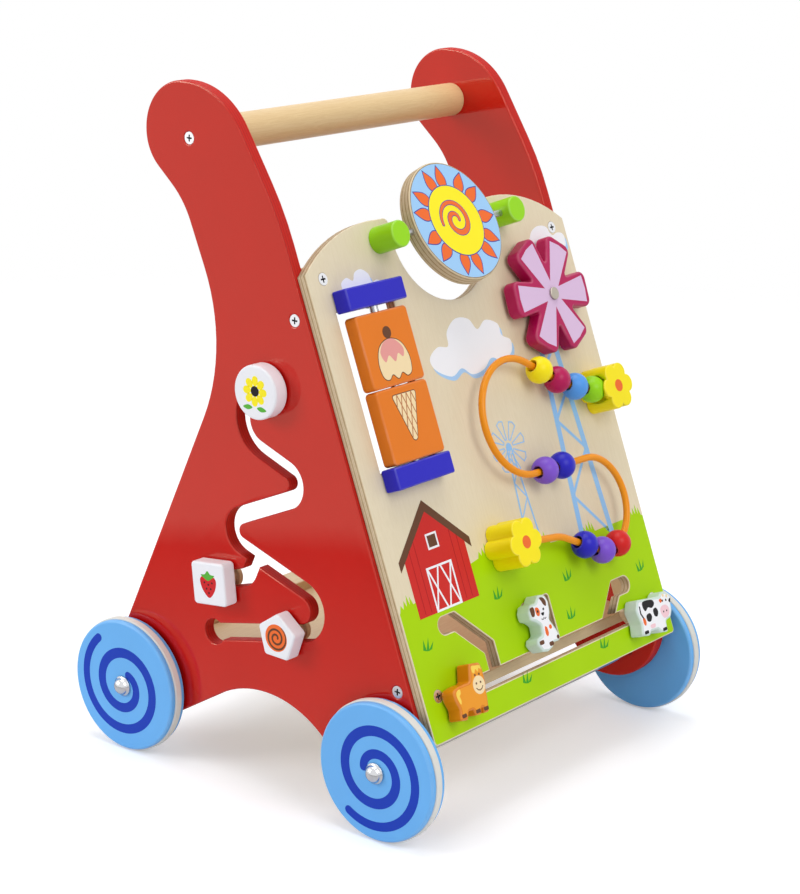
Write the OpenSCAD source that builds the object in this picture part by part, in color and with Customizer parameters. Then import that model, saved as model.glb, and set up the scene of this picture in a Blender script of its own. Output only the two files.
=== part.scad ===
// Wooden push walker with an activity board: two side panels on four wheels,
// a dowel handle, and a sloping board of toys between the panels.
// The front, with the board, faces -Y. +X is the viewer's right. The floor is z = 0.

/* [Frame] */
// Width across the outer faces of the two side panels
frame_width = 302; // [298:1:370]
// Distance between the front and rear axles
wheelbase = 238; // [230:1:290]
// Thickness of the side panels
panel_t = 10; // [9:0.5:16]
// Height of the panels' feet above the floor
foot_z = 26; // [22:1:32]
// Height of the handle's axis above the top corners of the board
handle_rise = 80; // [72:1:110]
// Level distance of the handle's axis behind the panels' front edge
handle_setback = 63; // [58:1:75]
// Diameter of the handle
handle_d = 25; // [20:0.5:32]
// Thickness of the shelf between the panels
shelf_t = 9; // [6:0.5:10]
// Height of the shelf's underside above the floor
shelf_z = 77.3; // [76:0.1:80]
// Depth of the rear rail, front to back
rail_t = 22; // [16:1:24]
// Height of the rear rail
rail_h = 22; // [16:1:26]
// Height of the rear rail's top over the shelf
rail_rise = 7.5; // [4:0.5:10]

/* [Activity board] */
// Lean of the board back from upright, in degrees
board_tilt = 21.4; // [19:0.2:24]
// Length of the board's straight sides, along its slope
board_length = 325; // [320:1:400]
// Distance of the board's sides in from the panels' outer faces
board_inset = 3; // [0:0.5:5]
// Thickness of the board
board_t = 8; // [6:0.5:11]
// Height of the board's bottom edge above the floor
board_low = 73; // [68:1:80]
// Distance of the board's bottom edge ahead of the front axle
board_reach = 36; // [32:1:42]
// Width of the corner blocks behind the board
block_w = 18; // [12:1:20]
// Depth of the corner blocks behind the board
block_depth = 20; // [16:1:24]
// Length of the corner blocks along the slope
block_length = 38; // [34:1:44]

/* [Wheels] */
// Diameter of a wheel over its tyre
wheel_d = 100; // [90:1:110]
// Thickness of a wheel
wheel_w = 14.2; // [12:0.2:20]
// Width of the tyre band
tyre_w = 6; // [4:0.2:7]
// Radial thickness of the tyre band
tyre_h = 5.5; // [3:0.1:8]
// Height of the tyre band over the wheel's rims
tyre_stand = 1; // [0.5:0.1:2]
// Rounding of the wheel's rims
rim_round = 2; // [1:0.1:2.5]
// Gap between a wheel and its panel
wheel_gap = 2; // [1.6:0.1:4]
// Diameter of the steel axles
axle_d = 6; // [5:0.1:8]
// Diameter of the domed axle caps
cap_d = 15; // [12:0.5:18]
// Height of the domed axle caps
cap_h = 6; // [4:0.5:8]

/* [Turning disc] */
// Diameter of the turning disc
disc_d = 90; // [80:1:92]
// Thickness of the turning disc
disc_t = 10.6; // [8:0.2:13]
// Height of the disc's axis above the board's top corners, along the slope
disc_rise = 12.5; // [8:0.5:16]
// Height of the disc's axis over the board's face
disc_axis_h = 12.8; // [11:0.2:14]
// Lean of the disc back from the board's slope at rest, in degrees
disc_lean = 10.8; // [0:0.2:30]
// Gap between the disc and the round notch in the board
notch_gap = 7; // [5:0.5:8]
// Diameter of the disc's rod
disc_rod_d = 5; // [4:0.1:7]
// Diameter of the pegs that hold the rod
peg_d = 19; // [16:0.5:20]
// Length of the pegs
peg_l = 22; // [20:0.5:26]
// Distance between the pegs' axes
peg_span = 134; // [132:1:140]

/* [Turning blocks] */
// Width of a turning block
flip_w = 54.5; // [46:0.5:58]
// Height of a turning block, along the slope
flip_l = 51.4; // [44:0.2:54]
// Thickness of a turning block
flip_t = 11; // [8:0.2:13]
// Gap between the two turning blocks, and under the lower one
flip_gap = 0.6; // [0.4:0.1:2]
// Play over the upper turning block
flip_play = 4.2; // [1:0.2:6]
// Gap beside the blocks in the board's window
window_gap = 3; // [2:0.5:5]
// Diameter of the blocks' rod
flip_rod_d = 6; // [5:0.1:8]
// Height of the rod over the board's face
flip_rod_h = 6.7; // [6.4:0.1:9]
// Length of a holder along the slope
holder_l = 15.6; // [13:0.2:18]
// Height of a holder over the board's face
holder_h = 13.2; // [13:0.2:18]
// Distance of the rod in from the board's left side
flip_in = 50; // [44:1:60]
// Distance of the upper holder's top below the board's top corners
flip_down = 15; // [12:1:22]

/* [Windmill] */
// Diameter of the windmill over its blades
mill_d = 88; // [76:1:90]
// Thickness of the windmill
mill_t = 11.2; // [8:0.2:14]
// Width of a blade at its tip
blade_w = 28; // [22:0.5:30]
// Distance of the windmill's axis in from the board's right side
mill_in = 55; // [52:1:60]
// Distance of the windmill's axis below the board's top corners
mill_down = 53.6; // [48:0.2:56]
// Diameter of the windmill's pin
mill_pin_d = 6; // [5:0.1:8]
// Height of the pin's collar under the windmill
mill_collar_h = 2.2; // [1.5:0.1:4]

/* [Bead run] */
// Diameter of a bead
bead_d = 20; // [18:0.5:20.5]
// Diameter of a bead's hole
bead_bore = 8.6; // [8.2:0.1:9]
// Gap between neighbouring beads
bead_gap = 0.6; // [0.4:0.1:1]
// Diameter of the bent wire
wire_d = 5.2; // [4.4:0.1:5.4]
// Height of the wire over the board's face
wire_h = 12.6; // [12:0.1:14]
// Diameter of a flower block over its petals
flower_d = 36; // [34:0.5:38]
// Height of a flower block
flower_h = 24.6; // [24:0.2:30]

/* [Sliders] */
// Thickness of the animal figures and side knobs
figure_t = 12; // [10:0.5:15]
// Gap between a figure and the face that it slides on
figure_gap = 1.2; // [0.6:0.1:2]
// Width of the slots that the stems run in
slot_w = 12.2; // [11.8:0.1:14]
// Diameter of a figure's stem
stem_d = 11; // [9:0.1:11.4]
// Diameter of the flange at a stem's back end
flange_d = 16.4; // [15:0.2:17.6]
// Thickness of the flange
flange_t = 4; // [3:0.2:6]
// Diameter of the round knob on the side panel
round_knob_d = 38; // [34:0.5:40]
// Width of the square knob on the side panel
square_knob_w = 31; // [28:0.5:31.5]
// Diameter of the five-sided knob over its corners
five_knob_d = 35.5; // [32:0.5:36]

/* [Screws] */
// Diameter of the screws' shanks
screw_d = 4; // [3:0.1:4.6]
// Diameter of the screws' heads
head_d = 8.6; // [7:0.1:9.4]
// Thickness of the screws' heads
head_t = 2.4; // [2:0.1:3]
// Length of the screws into the wood behind the panel or board
screw_bite = 13; // [10:0.5:14]

/* [Hidden] */

$fn = 64;
// Radial clearance of a turning bore on its shaft, and of a shank in its hole
run_clearance = 0.08;
hole_clearance = 0.05;
// Gap left between pieces that move past each other
slip = 0.4;
// Overrun of a cut past the face that it opens
cut = 1;
// Turn of one step along a bend, in degrees, and round a wide or a small corner
bend_step = 7.5;
wide_step = 4;
small_step = 11.25;
small_corner_r = 15;

red = [0.78, 0.2, 0.16];
wood = [0.86, 0.76, 0.58];
steel = [0.75, 0.76, 0.78];
lime = [0.5, 0.8, 0.16];
navy = [0.16, 0.15, 0.72];
orange = [0.89, 0.5, 0.16];
magenta = [0.69, 0.13, 0.38];
yellow = [0.98, 0.92, 0.16];
sky = [0.42, 0.65, 0.92];
violet = [0.53, 0.39, 0.8];
pale = [0.93, 0.93, 0.95];
brown = [0.9, 0.57, 0.18];

// Places of the frame
front_y = -wheelbase / 2;
rear_y = wheelbase / 2;
axle_z = wheel_d / 2;
panel_face_x = frame_width / 2;
panel_inner_x = panel_face_x - panel_t;
wheel_inner_x = panel_face_x + wheel_gap;
wheel_outer_x = wheel_inner_x + wheel_w;
axle_r = axle_d / 2;
board_w = frame_width - 2 * board_inset;
board_foot_y = front_y - board_reach;
handle_z = board_low + board_length * cos(board_tilt) + handle_rise;
handle_y = front_edge_y(handle_z) + handle_setback;

// Level position, at height z, of the plane at a depth behind the board's face
function slope_y(z, depth) = board_foot_y + depth / cos(board_tilt) + (z - board_low) * tan(board_tilt);
// The panels' front edge carries the board's back
function front_edge_y(z) = slope_y(z, board_t);

// The shelf lies between the panels, from the corner blocks back to the rear rail
shelf_top = shelf_z + shelf_t;
shelf_front_y = slope_y(shelf_top, board_t + block_depth) + slip;
rail_ahead = 27.6;
rail_front_y = rear_y - rail_ahead;
rail_z = shelf_top + rail_rise - rail_h;
rail_screw_at = [rail_front_y + rail_t / 2, rail_z + rail_h / 2];

// Screw places: along the board's slope, and how far in from its sides
screw_up_low = 30.5;
screw_up_high = board_length - 5;
side_screw_up_low = screw_up_low + 10.3;
side_screw_up_high = screw_up_high - 21.7;
block_low_up = screw_up_low - 9;
block_high_up = board_length + 6 - block_length;
board_screw_x = panel_inner_x - block_w / 2;
block_screw_h = -board_t - block_depth / 2;

// Curves: a bend is [x, y, radius, turn], with turn 1 to the left and -1 to the right
function xy(p) = [p[0], p[1]];
function aim(a) = [cos(a), sin(a)];
function wrap(a) = a - 360 * floor(a / 360);
function bearing(a, b) = atan2(b[1] - a[1], b[0] - a[0]);
// Heading of the straight that leaves bend a and joins bend b
function heading(a, b) = bearing(a, b) - asin((b[3] * b[2] - a[3] * a[2]) / norm(xy(b) - xy(a)));
function sweep_of(run, i) =
    let (before = heading(run[i - 1], run[i]), after = heading(run[i], run[i + 1]))
    run[i][3] > 0 ? wrap(after - before) : -wrap(before - after);
function on_bend(bend, h) = xy(bend) + bend[2] * bend[3] * aim(h - 90);
// Points [x, y, heading] of bend i, in even steps
function bend_points(run, i) =
    let (
        start = heading(run[i - 1], run[i]),
        sweep = sweep_of(run, i),
        n = ceil(abs(sweep) / bend_step)
    )
    [for (j = [0:n]) let (h = start + sweep * j / n) concat(on_bend(run[i], h), h)];
function run_points(run) =
    let (last = len(run) - 1)
    concat(
        [concat(xy(run[0]), heading(run[0], run[1]))],
        [for (i = [1:last - 1]) each bend_points(run, i)],
        [concat(xy(run[last]), heading(run[last - 1], run[last]))]
    );
// Outline of a band of half width w along a run
function band(run, w) =
    let (pts = run_points(run))
    concat(
        [for (p = pts) xy(p) + w * aim(p[2] + 90)],
        [for (i = [len(pts) - 1:-1:0]) xy(pts[i]) - w * aim(pts[i][2] + 90)]
    );
// Place [x, y, heading] at distance d past the end of bend i, or before it when d is negative
function along(run, i, d) =
    let (
        out = heading(run[i], run[i + 1]),
        into = heading(run[i - 1], run[i]),
        arc = abs(sweep_of(run, i)) * PI / 180 * run[i][2],
        h = d > 0 ? out : d > -arc ? out + run[i][3] * d / run[i][2] * 180 / PI : into,
        extra = d > 0 ? d : d > -arc ? 0 : d + arc
    )
    concat(on_bend(run[i], h) + extra * aim(h), h);
// Corners [x, y, radius] of a lane of half width w along a bent line, with its bends rounded by r
function lane_side(line, i) =
    let (
        last = len(line) - 1,
        before = aim(bearing(line[max(i, 1) - 1], line[max(i, 1)]) + 90),
        after = aim(bearing(line[min(i, last - 1)], line[min(i, last - 1) + 1]) + 90)
    )
    (before + after) / (1 + before * after);
function lane_corners(line, w, r) =
    let (last = len(line) - 1, round_of = [for (i = [0:last]) i == 0 || i == last ? 0 : r])
    concat(
        [for (i = [0:last]) concat(line[i] + w * lane_side(line, i), round_of[i])],
        [for (i = [last:-1:0]) concat(line[i] - w * lane_side(line, i), round_of[i])]
    );
// Outline with rounded corners from corners [x, y, radius]
function unit(v) = v / norm(v);
function corner_points(a, p, b) =
    let (
        to_a = unit(xy(a) - xy(p)),
        to_b = unit(xy(b) - xy(p)),
        half = acos(to_a * to_b) / 2,
        centre = xy(p) + unit(to_a + to_b) * p[2] / sin(half),
        side = to_a[0] * to_b[1] - to_a[1] * to_b[0] > 0 ? -1 : 1,
        first = bearing(centre, xy(p) + to_a * p[2] / tan(half)),
        sweep = (180 - 2 * half) * -side,
        n = ceil(abs(sweep) / (p[2] < small_corner_r ? small_step : wide_step))
    )
    p[2] == 0 ? [xy(p)] : [for (j = [0:n]) centre + p[2] * aim(first - sweep * j / n)];
function rounded(c) =
    let (n = len(c))
    [for (i = [0:n - 1]) each corner_points(c[(i + n - 1) % n], c[i], c[(i + 1) % n])];

// The side run on the left panel, as [y, z] bends: the round knob's bend, three turns, then a straight
knob_bend = [front_y + 113, 270.5, 22.5, -1];
side_run_end = [front_y + 162, 106.5, 0, 0];
side_run = [
    [front_y + 112.5, 293.2, 0, 0],
    knob_bend,
    [front_y + 98.4, 228.6, 11.7, 1],
    [front_y + 133.4, 187.4, 11.7, -1],
    [front_y + 82.9, 141.5, 16.3, 1],
    side_run_end
];
// The branch leaves the run a little past its third turn
branch_past = 14.5;
side_branch = [
    concat(xy(along(side_run, 3, branch_past)), [0, 0]),
    [front_y + 137.5, 162.5, 9.5, 1],
    [front_y + 155.5, 147, 0, 0]
];
keyhole_d = flange_d + 2;
round_knob_at = xy(side_run[0]);
square_knob_at = xy(side_branch[2]);
five_knob_past = 13;
five_knob_at = along(side_run, 4, five_knob_past);

// The maze in the board, as bent lines along and up its face: one long lane and three branches
maze_up = 25.8;
maze_margin = 2.8;
maze_right = panel_inner_x - block_w - flange_d / 2 - maze_margin;
maze_left = -maze_right;
maze_corner_r = 2.5;
left_branch_x = maze_left + 45;
left_branch_up = maze_up + 47.4;
right_branch_up = maze_up + 23.2;
dog_x = maze_left + 93.9;
dog_up = maze_up + 33.6;
dog_turn_x = maze_left + 116.5;
maze_lanes = [
    [[maze_left, maze_up], [maze_right, maze_up]],
    [
        [maze_left + 5.1, left_branch_up], [maze_left + 16.5, left_branch_up],
        [left_branch_x, maze_up + 21.6], [left_branch_x, maze_up]
    ],
    [[dog_x, dog_up], [dog_turn_x, dog_up], [dog_turn_x, maze_up]],
    [[maze_right - 43.7, maze_up], [maze_right - 22.3, right_branch_up], [maze_right - 9.8, right_branch_up]]
];

// The bead wire, as bends along and up the board's face, from the upper flower to the lower one
wire_right = board_w / 2;
flower_upper_at = [wire_right - 20.5, 193];
flower_lower_at = [wire_right - 175.5, 109.2];
wire_run = [
    [flower_upper_at[0] - 4, flower_upper_at[1] - 1.1, 0, 0],
    [wire_right - 5, 342, 150, -1],
    [wire_right - 129.5, 193, 42, 1],
    [wire_right - 68, 114.5, 34.5, -1],
    [wire_right - 133, 63.4, 40, 1],
    [flower_lower_at[0] + 7.5, flower_lower_at[1] - 1, 0, 0]
];
bead_pitch = bead_d + bead_gap;
// Places of the beads on the wire, each row pushed together as it lies at rest
top_row_past = 13;
mid_row_past = 12.4;
low_row_past = 14.7;
bead_top = [for (i = [0:3]) along(wire_run, 1, top_row_past - i * bead_pitch)];
bead_mid = [for (i = [0:1]) along(wire_run, 2, mid_row_past + i * bead_pitch)];
bead_low = [for (i = [0:2]) along(wire_run, 3, low_row_past - i * bead_pitch)];

// The turning disc and blocks, along and up the board's face
disc_up = board_length + disc_rise;
notch_r = disc_d / 2 + notch_gap;
flip_x = -board_w / 2 + flip_in;
holder_top_up = board_length - flip_down - holder_l;
flip_clear = 2 * flip_l + 2 * flip_gap + flip_play;
holder_bottom_up = holder_top_up - flip_clear - holder_l;
flip_low_up = holder_bottom_up + holder_l + flip_gap;
flip_high_up = flip_low_up + flip_l + flip_gap;
window_w = flip_w + 2 * window_gap;
holder_w = window_w;
holder_lap = 2;
rod_bite = 10;
mill_at = [board_w / 2 - mill_in, board_length - mill_down];
mill_low_h = mill_collar_h + slip;
mill_top_h = mill_low_h + mill_t;

// Frames: the board's face, and the outer face of a panel seen from outside
module on_board(x = 0, up = 0, h = 0) {
    translate([0, board_foot_y, board_low])
        rotate([90 - board_tilt, 0, 0])
        translate([x, up, h])
        children();
}
module upright(x) {
    translate([x, 0, 0]) rotate([90, 0, 90]) children();
}
// A slot of one width along a run or a bent line, through a plate of thickness t
module slot(run, t) {
    slot_shape(band(run, slot_w / 2), t);
    for (end = [run[0], run[len(run) - 1]]) slot_end(end, slot_w, t);
}
module lane(line, t) {
    slot_shape(rounded(lane_corners(line, slot_w / 2, maze_corner_r)), t);
    for (end = [line[0], line[len(line) - 1]]) slot_end(end, slot_w, t);
}
module slot_shape(outline, t) {
    translate([0, 0, -cut]) linear_extrude(t + 2 * cut) polygon(outline);
}
module slot_end(at, d, t) {
    translate([at[0], at[1], -cut]) cylinder(d = d, h = t + 2 * cut);
}

// Screws point along -Z with the head's top at z = 0, and have a cross cut in the head
cross_l = head_d * 0.56;
cross_w = head_d * 0.14;
cross_deep = head_t * 0.6;
module screw(length) {
    color(steel) difference() {
        union() {
            translate([0, 0, -head_t]) cylinder(d = head_d, h = head_t);
            translate([0, 0, -length]) cylinder(d = screw_d, h = length - head_t / 2);
        }
        for (turn = [0, 90])
            rotate(turn) translate([-cross_l / 2, -cross_w / 2, -cross_deep])
                cube([cross_l, cross_w, head_t]);
    }
}
module screw_hole(length, sink = 0) {
    translate([0, 0, -length - cut]) cylinder(d = screw_d + 2 * hole_clearance, h = length + cut);
    translate([0, 0, -head_t]) cylinder(d = head_d + 2 * hole_clearance, h = head_t + sink + cut);
}
// Places of the screws through the panels: the handle's, the two corner blocks' and the rear rail's
head_sink = 0.6;
side_screw_length = panel_t - head_sink + screw_bite;
function board_to_side(up, h) = [
    board_foot_y + up * sin(board_tilt) - h * cos(board_tilt),
    board_low + up * cos(board_tilt) + h * sin(board_tilt)
];
side_screw_places = [
    [handle_y, handle_z],
    board_to_side(side_screw_up_high, block_screw_h),
    board_to_side(side_screw_up_low, block_screw_h),
    rail_screw_at
];
module at_side_screws() {
    for (side = [-1, 1], p = side_screw_places)
        translate([side * (panel_face_x - head_sink), p[0], p[1]])
            rotate([0, side * 90, 0])
            children();
}
board_screw_length = board_t + screw_bite;
module at_board_screws() {
    for (side = [-1, 1], up = [screw_up_low, screw_up_high])
        on_board(side * board_screw_x, up, 0) children();
}

// Side panels: feet, an arch between the wheels, a waist behind and a rounded head about the handle
waist_share = 0.673;
waist_z = foot_z + (handle_z - foot_z) * waist_share;
waist_depth = 81;
arch_front_y = front_y + 34;
arch_rear_y = rear_y - 25;
arch_peak_share = 0.36;
arch_peak_y = arch_front_y + (arch_rear_y - arch_front_y) * arch_peak_share;
arch_h = 70;
heel_reach = 43;
head_back = 40.6;
head_ahead = 28.5;
head_over = 38.3;
nape = [5.4, -43];
jaw_drop = 12.5;
brow_z = handle_z - 42;
panel_outline = [
    [front_edge_y(foot_z), foot_z, 45],
    [arch_front_y, foot_z, 12],
    [arch_peak_y, foot_z + arch_h, 82],
    [arch_rear_y, foot_z, 12],
    [rear_y + heel_reach, foot_z, 34],
    [front_edge_y(waist_z) + waist_depth, waist_z, 130],
    [handle_y + nape[0], handle_z + nape[1], 66],
    [handle_y + head_back, handle_z - jaw_drop, 33],
    [handle_y + head_back, handle_z + head_over, 35],
    [handle_y - head_ahead, handle_z + head_over, 58],
    [front_edge_y(brow_z), brow_z, 230]
];
module panel_blank(x) {
    difference() {
        upright(x) linear_extrude(panel_t) polygon(rounded(panel_outline));
        for (y = [front_y, rear_y])
            upright(x - cut) translate([y, axle_z, 0]) cylinder(d = axle_d, h = panel_t + 2 * cut);
        at_side_screws() screw_hole(side_screw_length, head_sink);
    }
}
module side_panel_left() {
    color(red) difference() {
        panel_blank(-panel_face_x);
        upright(-panel_face_x) slot(side_run, panel_t);
        upright(-panel_face_x) slot(side_branch, panel_t);
        upright(-panel_face_x) slot_end(side_run_end, keyhole_d, panel_t);
    }
}
module side_panel_right() {
    color(red) panel_blank(panel_inner_x);
}
module handle_bar() {
    color(wood) difference() {
        upright(-panel_inner_x) translate([handle_y, handle_z, 0])
            cylinder(d = handle_d, h = 2 * panel_inner_x);
        at_side_screws() screw_hole(side_screw_length, head_sink);
    }
}
module shelf_board() {
    color(wood) translate([-panel_inner_x, shelf_front_y, shelf_z])
        cube([2 * panel_inner_x, rail_front_y - shelf_front_y, shelf_t]);
}
module rear_rail() {
    color(wood) difference() {
        translate([-panel_inner_x, rail_front_y, rail_z]) cube([2 * panel_inner_x, rail_t, rail_h]);
        at_side_screws() screw_hole(side_screw_length, head_sink);
    }
}
module side_screws() { at_side_screws() screw(side_screw_length); }

// Activity board
crown_r = 123.5;
crown_in = 77.3;
crown_drop = 96.3;
crown_centre = [board_w / 2 - crown_in, board_length - crown_drop];
crown_first = atan2(crown_drop, crown_in);
crown_last = 94;
notch_corner_r = 5;
// Half of the top edge, from the right corner over the crown to the notch and down to its lowest point
notch_top_up = crown_centre[1] + crown_r * sin(crown_last);
notch_top_x = sqrt(notch_r * notch_r - pow(notch_top_up - disc_up, 2));
notch_first = atan2(notch_top_up - disc_up, notch_top_x);
notch_ease = 14;
notch_sweep = 90 + notch_first - notch_ease;
crown_steps = 10;
notch_steps = 14;
crown_step = (crown_last - crown_first) / crown_steps;
notch_step = notch_sweep / notch_steps;
function notch_point(i) = [0, disc_up] + notch_r * aim(notch_first - notch_ease - i * notch_step);
half_top = concat(
    [for (i = [0:crown_steps]) concat(crown_centre + crown_r * aim(crown_first + i * crown_step), 0)],
    [[notch_top_x, notch_top_up, notch_corner_r]],
    [for (i = [0:notch_steps]) concat(notch_point(i), 0)]
);
board_corner_r = 3;
board_outline = concat(
    [[-board_w / 2, 0, board_corner_r], [board_w / 2, 0, board_corner_r]],
    half_top,
    [for (i = [len(half_top) - 2:-1:0]) [-half_top[i][0], half_top[i][1], half_top[i][2]]]
);
module activity_board() {
    color(wood) difference() {
        on_board(0, 0, -board_t) linear_extrude(board_t) polygon(rounded(board_outline));
        on_board(flip_x - window_w / 2, holder_bottom_up + holder_l - holder_lap, -board_t - cut)
            cube([window_w, flip_clear + 2 * holder_lap, board_t + 2 * cut]);
        on_board(0, 0, -board_t) {
            for (line = maze_lanes) lane(line, board_t);
            for (side = [-1, 1]) slot_end([side * peg_span / 2, disc_up], tenon_d, board_t);
            slot_end(mill_at, mill_pin_d, board_t);
        }
        at_board_screws() screw_hole(board_screw_length);
    }
}
module corner_blocks() {
    color(wood) difference() {
        for (side = [-1, 1], up = [block_low_up, block_high_up])
            on_board(side * board_screw_x - block_w / 2, up, -board_t - block_depth)
                cube([block_w, block_length, block_depth]);
        at_board_screws() screw_hole(board_screw_length);
        at_side_screws() screw_hole(side_screw_length, head_sink);
    }
}
module board_screws() { at_board_screws() screw(board_screw_length); }

// Axles and wheels
cap_gap = slip;
axle_end_x = wheel_outer_x + cap_gap + cap_h / 2;
module axle(y) {
    color(steel) upright(-axle_end_x) translate([y, axle_z, 0])
        cylinder(d = axle_d, h = 2 * axle_end_x);
}
module front_axle() { axle(front_y); }
module rear_axle() { axle(rear_y); }
module at_wheels() {
    for (side = [-1, 1], y = [front_y, rear_y])
        translate([side * panel_face_x, y, axle_z]) rotate([0, side * 90, 0]) children();
}
// A dome over the axle's end, whose sphere is set by the cap's width and height
cap_ball_r = (cap_d * cap_d / 4 + cap_h * cap_h) / (2 * cap_h);
module axle_caps() {
    color(steel) at_wheels() translate([0, 0, wheel_outer_x + cap_gap - panel_face_x]) difference() {
        intersection() {
            translate([0, 0, cap_h - cap_ball_r]) sphere(r = cap_ball_r);
            cylinder(d = cap_d, h = cap_h);
        }
        translate([0, 0, -cut]) cylinder(d = axle_d, h = cap_h / 2 + cut);
    }
}
washer_d = 14;
module axle_washers() {
    color(steel) at_wheels() difference() {
        cylinder(d = washer_d, h = wheel_gap - slip);
        translate([0, 0, -cut]) cylinder(d = axle_d, h = wheel_gap + cut);
    }
}
rim_r = wheel_d / 2 - tyre_stand;
seat_r = wheel_d / 2 - tyre_h;
tyre_in = (wheel_w - tyre_w) / 2;
hub_r = axle_r + run_clearance;
wheel_profile = rounded([
    [hub_r, 0, 0], [rim_r, 0, rim_round], [rim_r, tyre_in, 0], [seat_r, tyre_in, 0],
    [seat_r, tyre_in + tyre_w, 0], [rim_r, tyre_in + tyre_w, 0],
    [rim_r, wheel_w, rim_round], [hub_r, wheel_w, 0]
]);
tyre_round = 1;
tyre_profile = rounded([
    [seat_r, tyre_in, 0], [wheel_d / 2, tyre_in, tyre_round],
    [wheel_d / 2, tyre_in + tyre_w, tyre_round], [seat_r, tyre_in + tyre_w, 0]
]);
module at_wheel(side, y) {
    translate([side * wheel_inner_x, y, axle_z]) rotate([0, side * 90, 0]) children();
}
module wheel(side, y) { color(sky) at_wheel(side, y) rotate_extrude() polygon(wheel_profile); }
module tyre(side, y) { color(pale) at_wheel(side, y) rotate_extrude() polygon(tyre_profile); }

// Turning disc on a rod between two pegs
tenon_d = 10;
module disc_peg(side) {
    color(lime) difference() {
        union() {
            on_board(side * peg_span / 2, disc_up, 0) cylinder(d = peg_d, h = peg_l);
            on_board(side * peg_span / 2, disc_up, -board_t) cylinder(d = tenon_d, h = board_t + cut);
        }
        disc_rod_along(disc_rod_d, peg_span);
    }
}
module disc_rod_along(d, length) {
    on_board(-length / 2, disc_up, disc_axis_h) rotate([0, 90, 0]) cylinder(d = d, h = length);
}
module disc_rod() { color(steel) disc_rod_along(disc_rod_d, peg_span); }
module turning_disc() {
    color(sky) difference() {
        on_board(0, disc_up, disc_axis_h) rotate([-disc_lean, 0, 0])
            cylinder(d = disc_d, h = disc_t, center = true);
        disc_rod_along(disc_rod_d + 2 * run_clearance, disc_d + 2 * cut);
    }
}

// Turning blocks on a rod between two holders
flip_rod_low = holder_bottom_up + holder_l - rod_bite;
flip_rod_length = flip_clear + 2 * rod_bite;
module flip_rod_along(d) {
    on_board(flip_x, flip_rod_low, flip_rod_h) rotate([-90, 0, 0])
        cylinder(d = d, h = flip_rod_length);
}
module block_rod() { color(steel) flip_rod_along(flip_rod_d); }
module block_holder(up) {
    color(navy) difference() {
        on_board(flip_x - holder_w / 2, up, 0) cube([holder_w, holder_l, holder_h]);
        flip_rod_along(flip_rod_d);
    }
}
module block_holder_top() { block_holder(holder_top_up); }
module block_holder_bottom() { block_holder(holder_bottom_up); }
module turning_block(up) {
    color(orange) difference() {
        on_board(flip_x - flip_w / 2, up, flip_rod_h - flip_t / 2) cube([flip_w, flip_l, flip_t]);
        flip_rod_along(flip_rod_d + 2 * run_clearance);
    }
}
module turning_block_upper() { turning_block(flip_high_up); }
module turning_block_lower() { turning_block(flip_low_up); }

// Windmill on a shouldered pin
blades = 6;
blade_valley_r = 22;
blade_valley_round = 1.5;
blade_tip_round = 6;
mill_turn = -3;
mill_head_d = 9.4;
mill_head_h = 1.6;
mill_head_low = mill_top_h + slip;
mill_outline = [
    for (i = [0:blades - 1]) let (a = mill_turn + i * 360 / blades)
        each [
            concat(blade_valley_r * aim(a - 180 / blades), blade_valley_round),
            concat(mill_d / 2 * aim(a) - blade_w / 2 * aim(a + 90), blade_tip_round),
            concat(mill_d / 2 * aim(a) + blade_w / 2 * aim(a + 90), blade_tip_round)
        ]
];
module windmill() {
    color(magenta) on_board(mill_at[0], mill_at[1], mill_low_h) difference() {
        linear_extrude(mill_t) polygon(rounded(mill_outline));
        translate([0, 0, -cut]) cylinder(d = mill_pin_d + 2 * run_clearance, h = mill_t + 2 * cut);
    }
}
module windmill_pin() {
    color(steel) on_board(mill_at[0], mill_at[1], 0) {
        translate([0, 0, -board_t]) cylinder(d = mill_pin_d, h = board_t + mill_head_low + mill_head_h / 2);
        cylinder(d = 2 * mill_pin_d, h = mill_collar_h);
        translate([0, 0, mill_head_low]) cylinder(d = mill_head_d, h = mill_head_h);
    }
}

// Flower blocks, bead wire and beads
petals = 6;
petal_r = 7;
petal_at = flower_d / 2 - petal_r;
petal_share = 180 / petals;
valley_at = petal_at * cos(petal_share) + sqrt(pow(petal_r, 2) - pow(petal_at * sin(petal_share), 2));
petal_half = atan2(valley_at * sin(petal_share), valley_at * cos(petal_share) - petal_at);
petal_steps = 12;
flower_outline = [
    for (i = [0:petals - 1], j = [1:petal_steps]) let (turn = 2 * petal_share * i)
        petal_at * aim(turn) + petal_r * aim(turn - petal_half + 2 * petal_half * j / petal_steps)
];
module flower_block(at) {
    on_board(at[0], at[1], 0) linear_extrude(flower_h) polygon(flower_outline);
}
// A cylinder along the wire's heading, from a place on the wire
module along_wire(place, d, from, length) {
    on_board(place[0], place[1], wire_h) rotate(place[2]) translate([from, 0, 0])
        rotate([0, 90, 0]) cylinder(d = d, h = length);
}
nest_d = bead_d + 2 * slip;
wire_start = concat(xy(wire_run[0]), heading(wire_run[0], wire_run[1]));
wire_end = concat(xy(wire_run[5]), heading(wire_run[4], wire_run[5]));
module flower_block_upper() {
    color(yellow) difference() {
        flower_block(flower_upper_at);
        along_wire(wire_start, wire_d, 0, flower_d);
        along_wire(bead_top[3], nest_d, -bead_d / 2 - slip, bead_d + flower_d);
    }
}
module flower_block_lower() {
    color(yellow) difference() {
        flower_block(flower_lower_at);
        along_wire(wire_end, wire_d, -flower_d, flower_d);
    }
}
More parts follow.
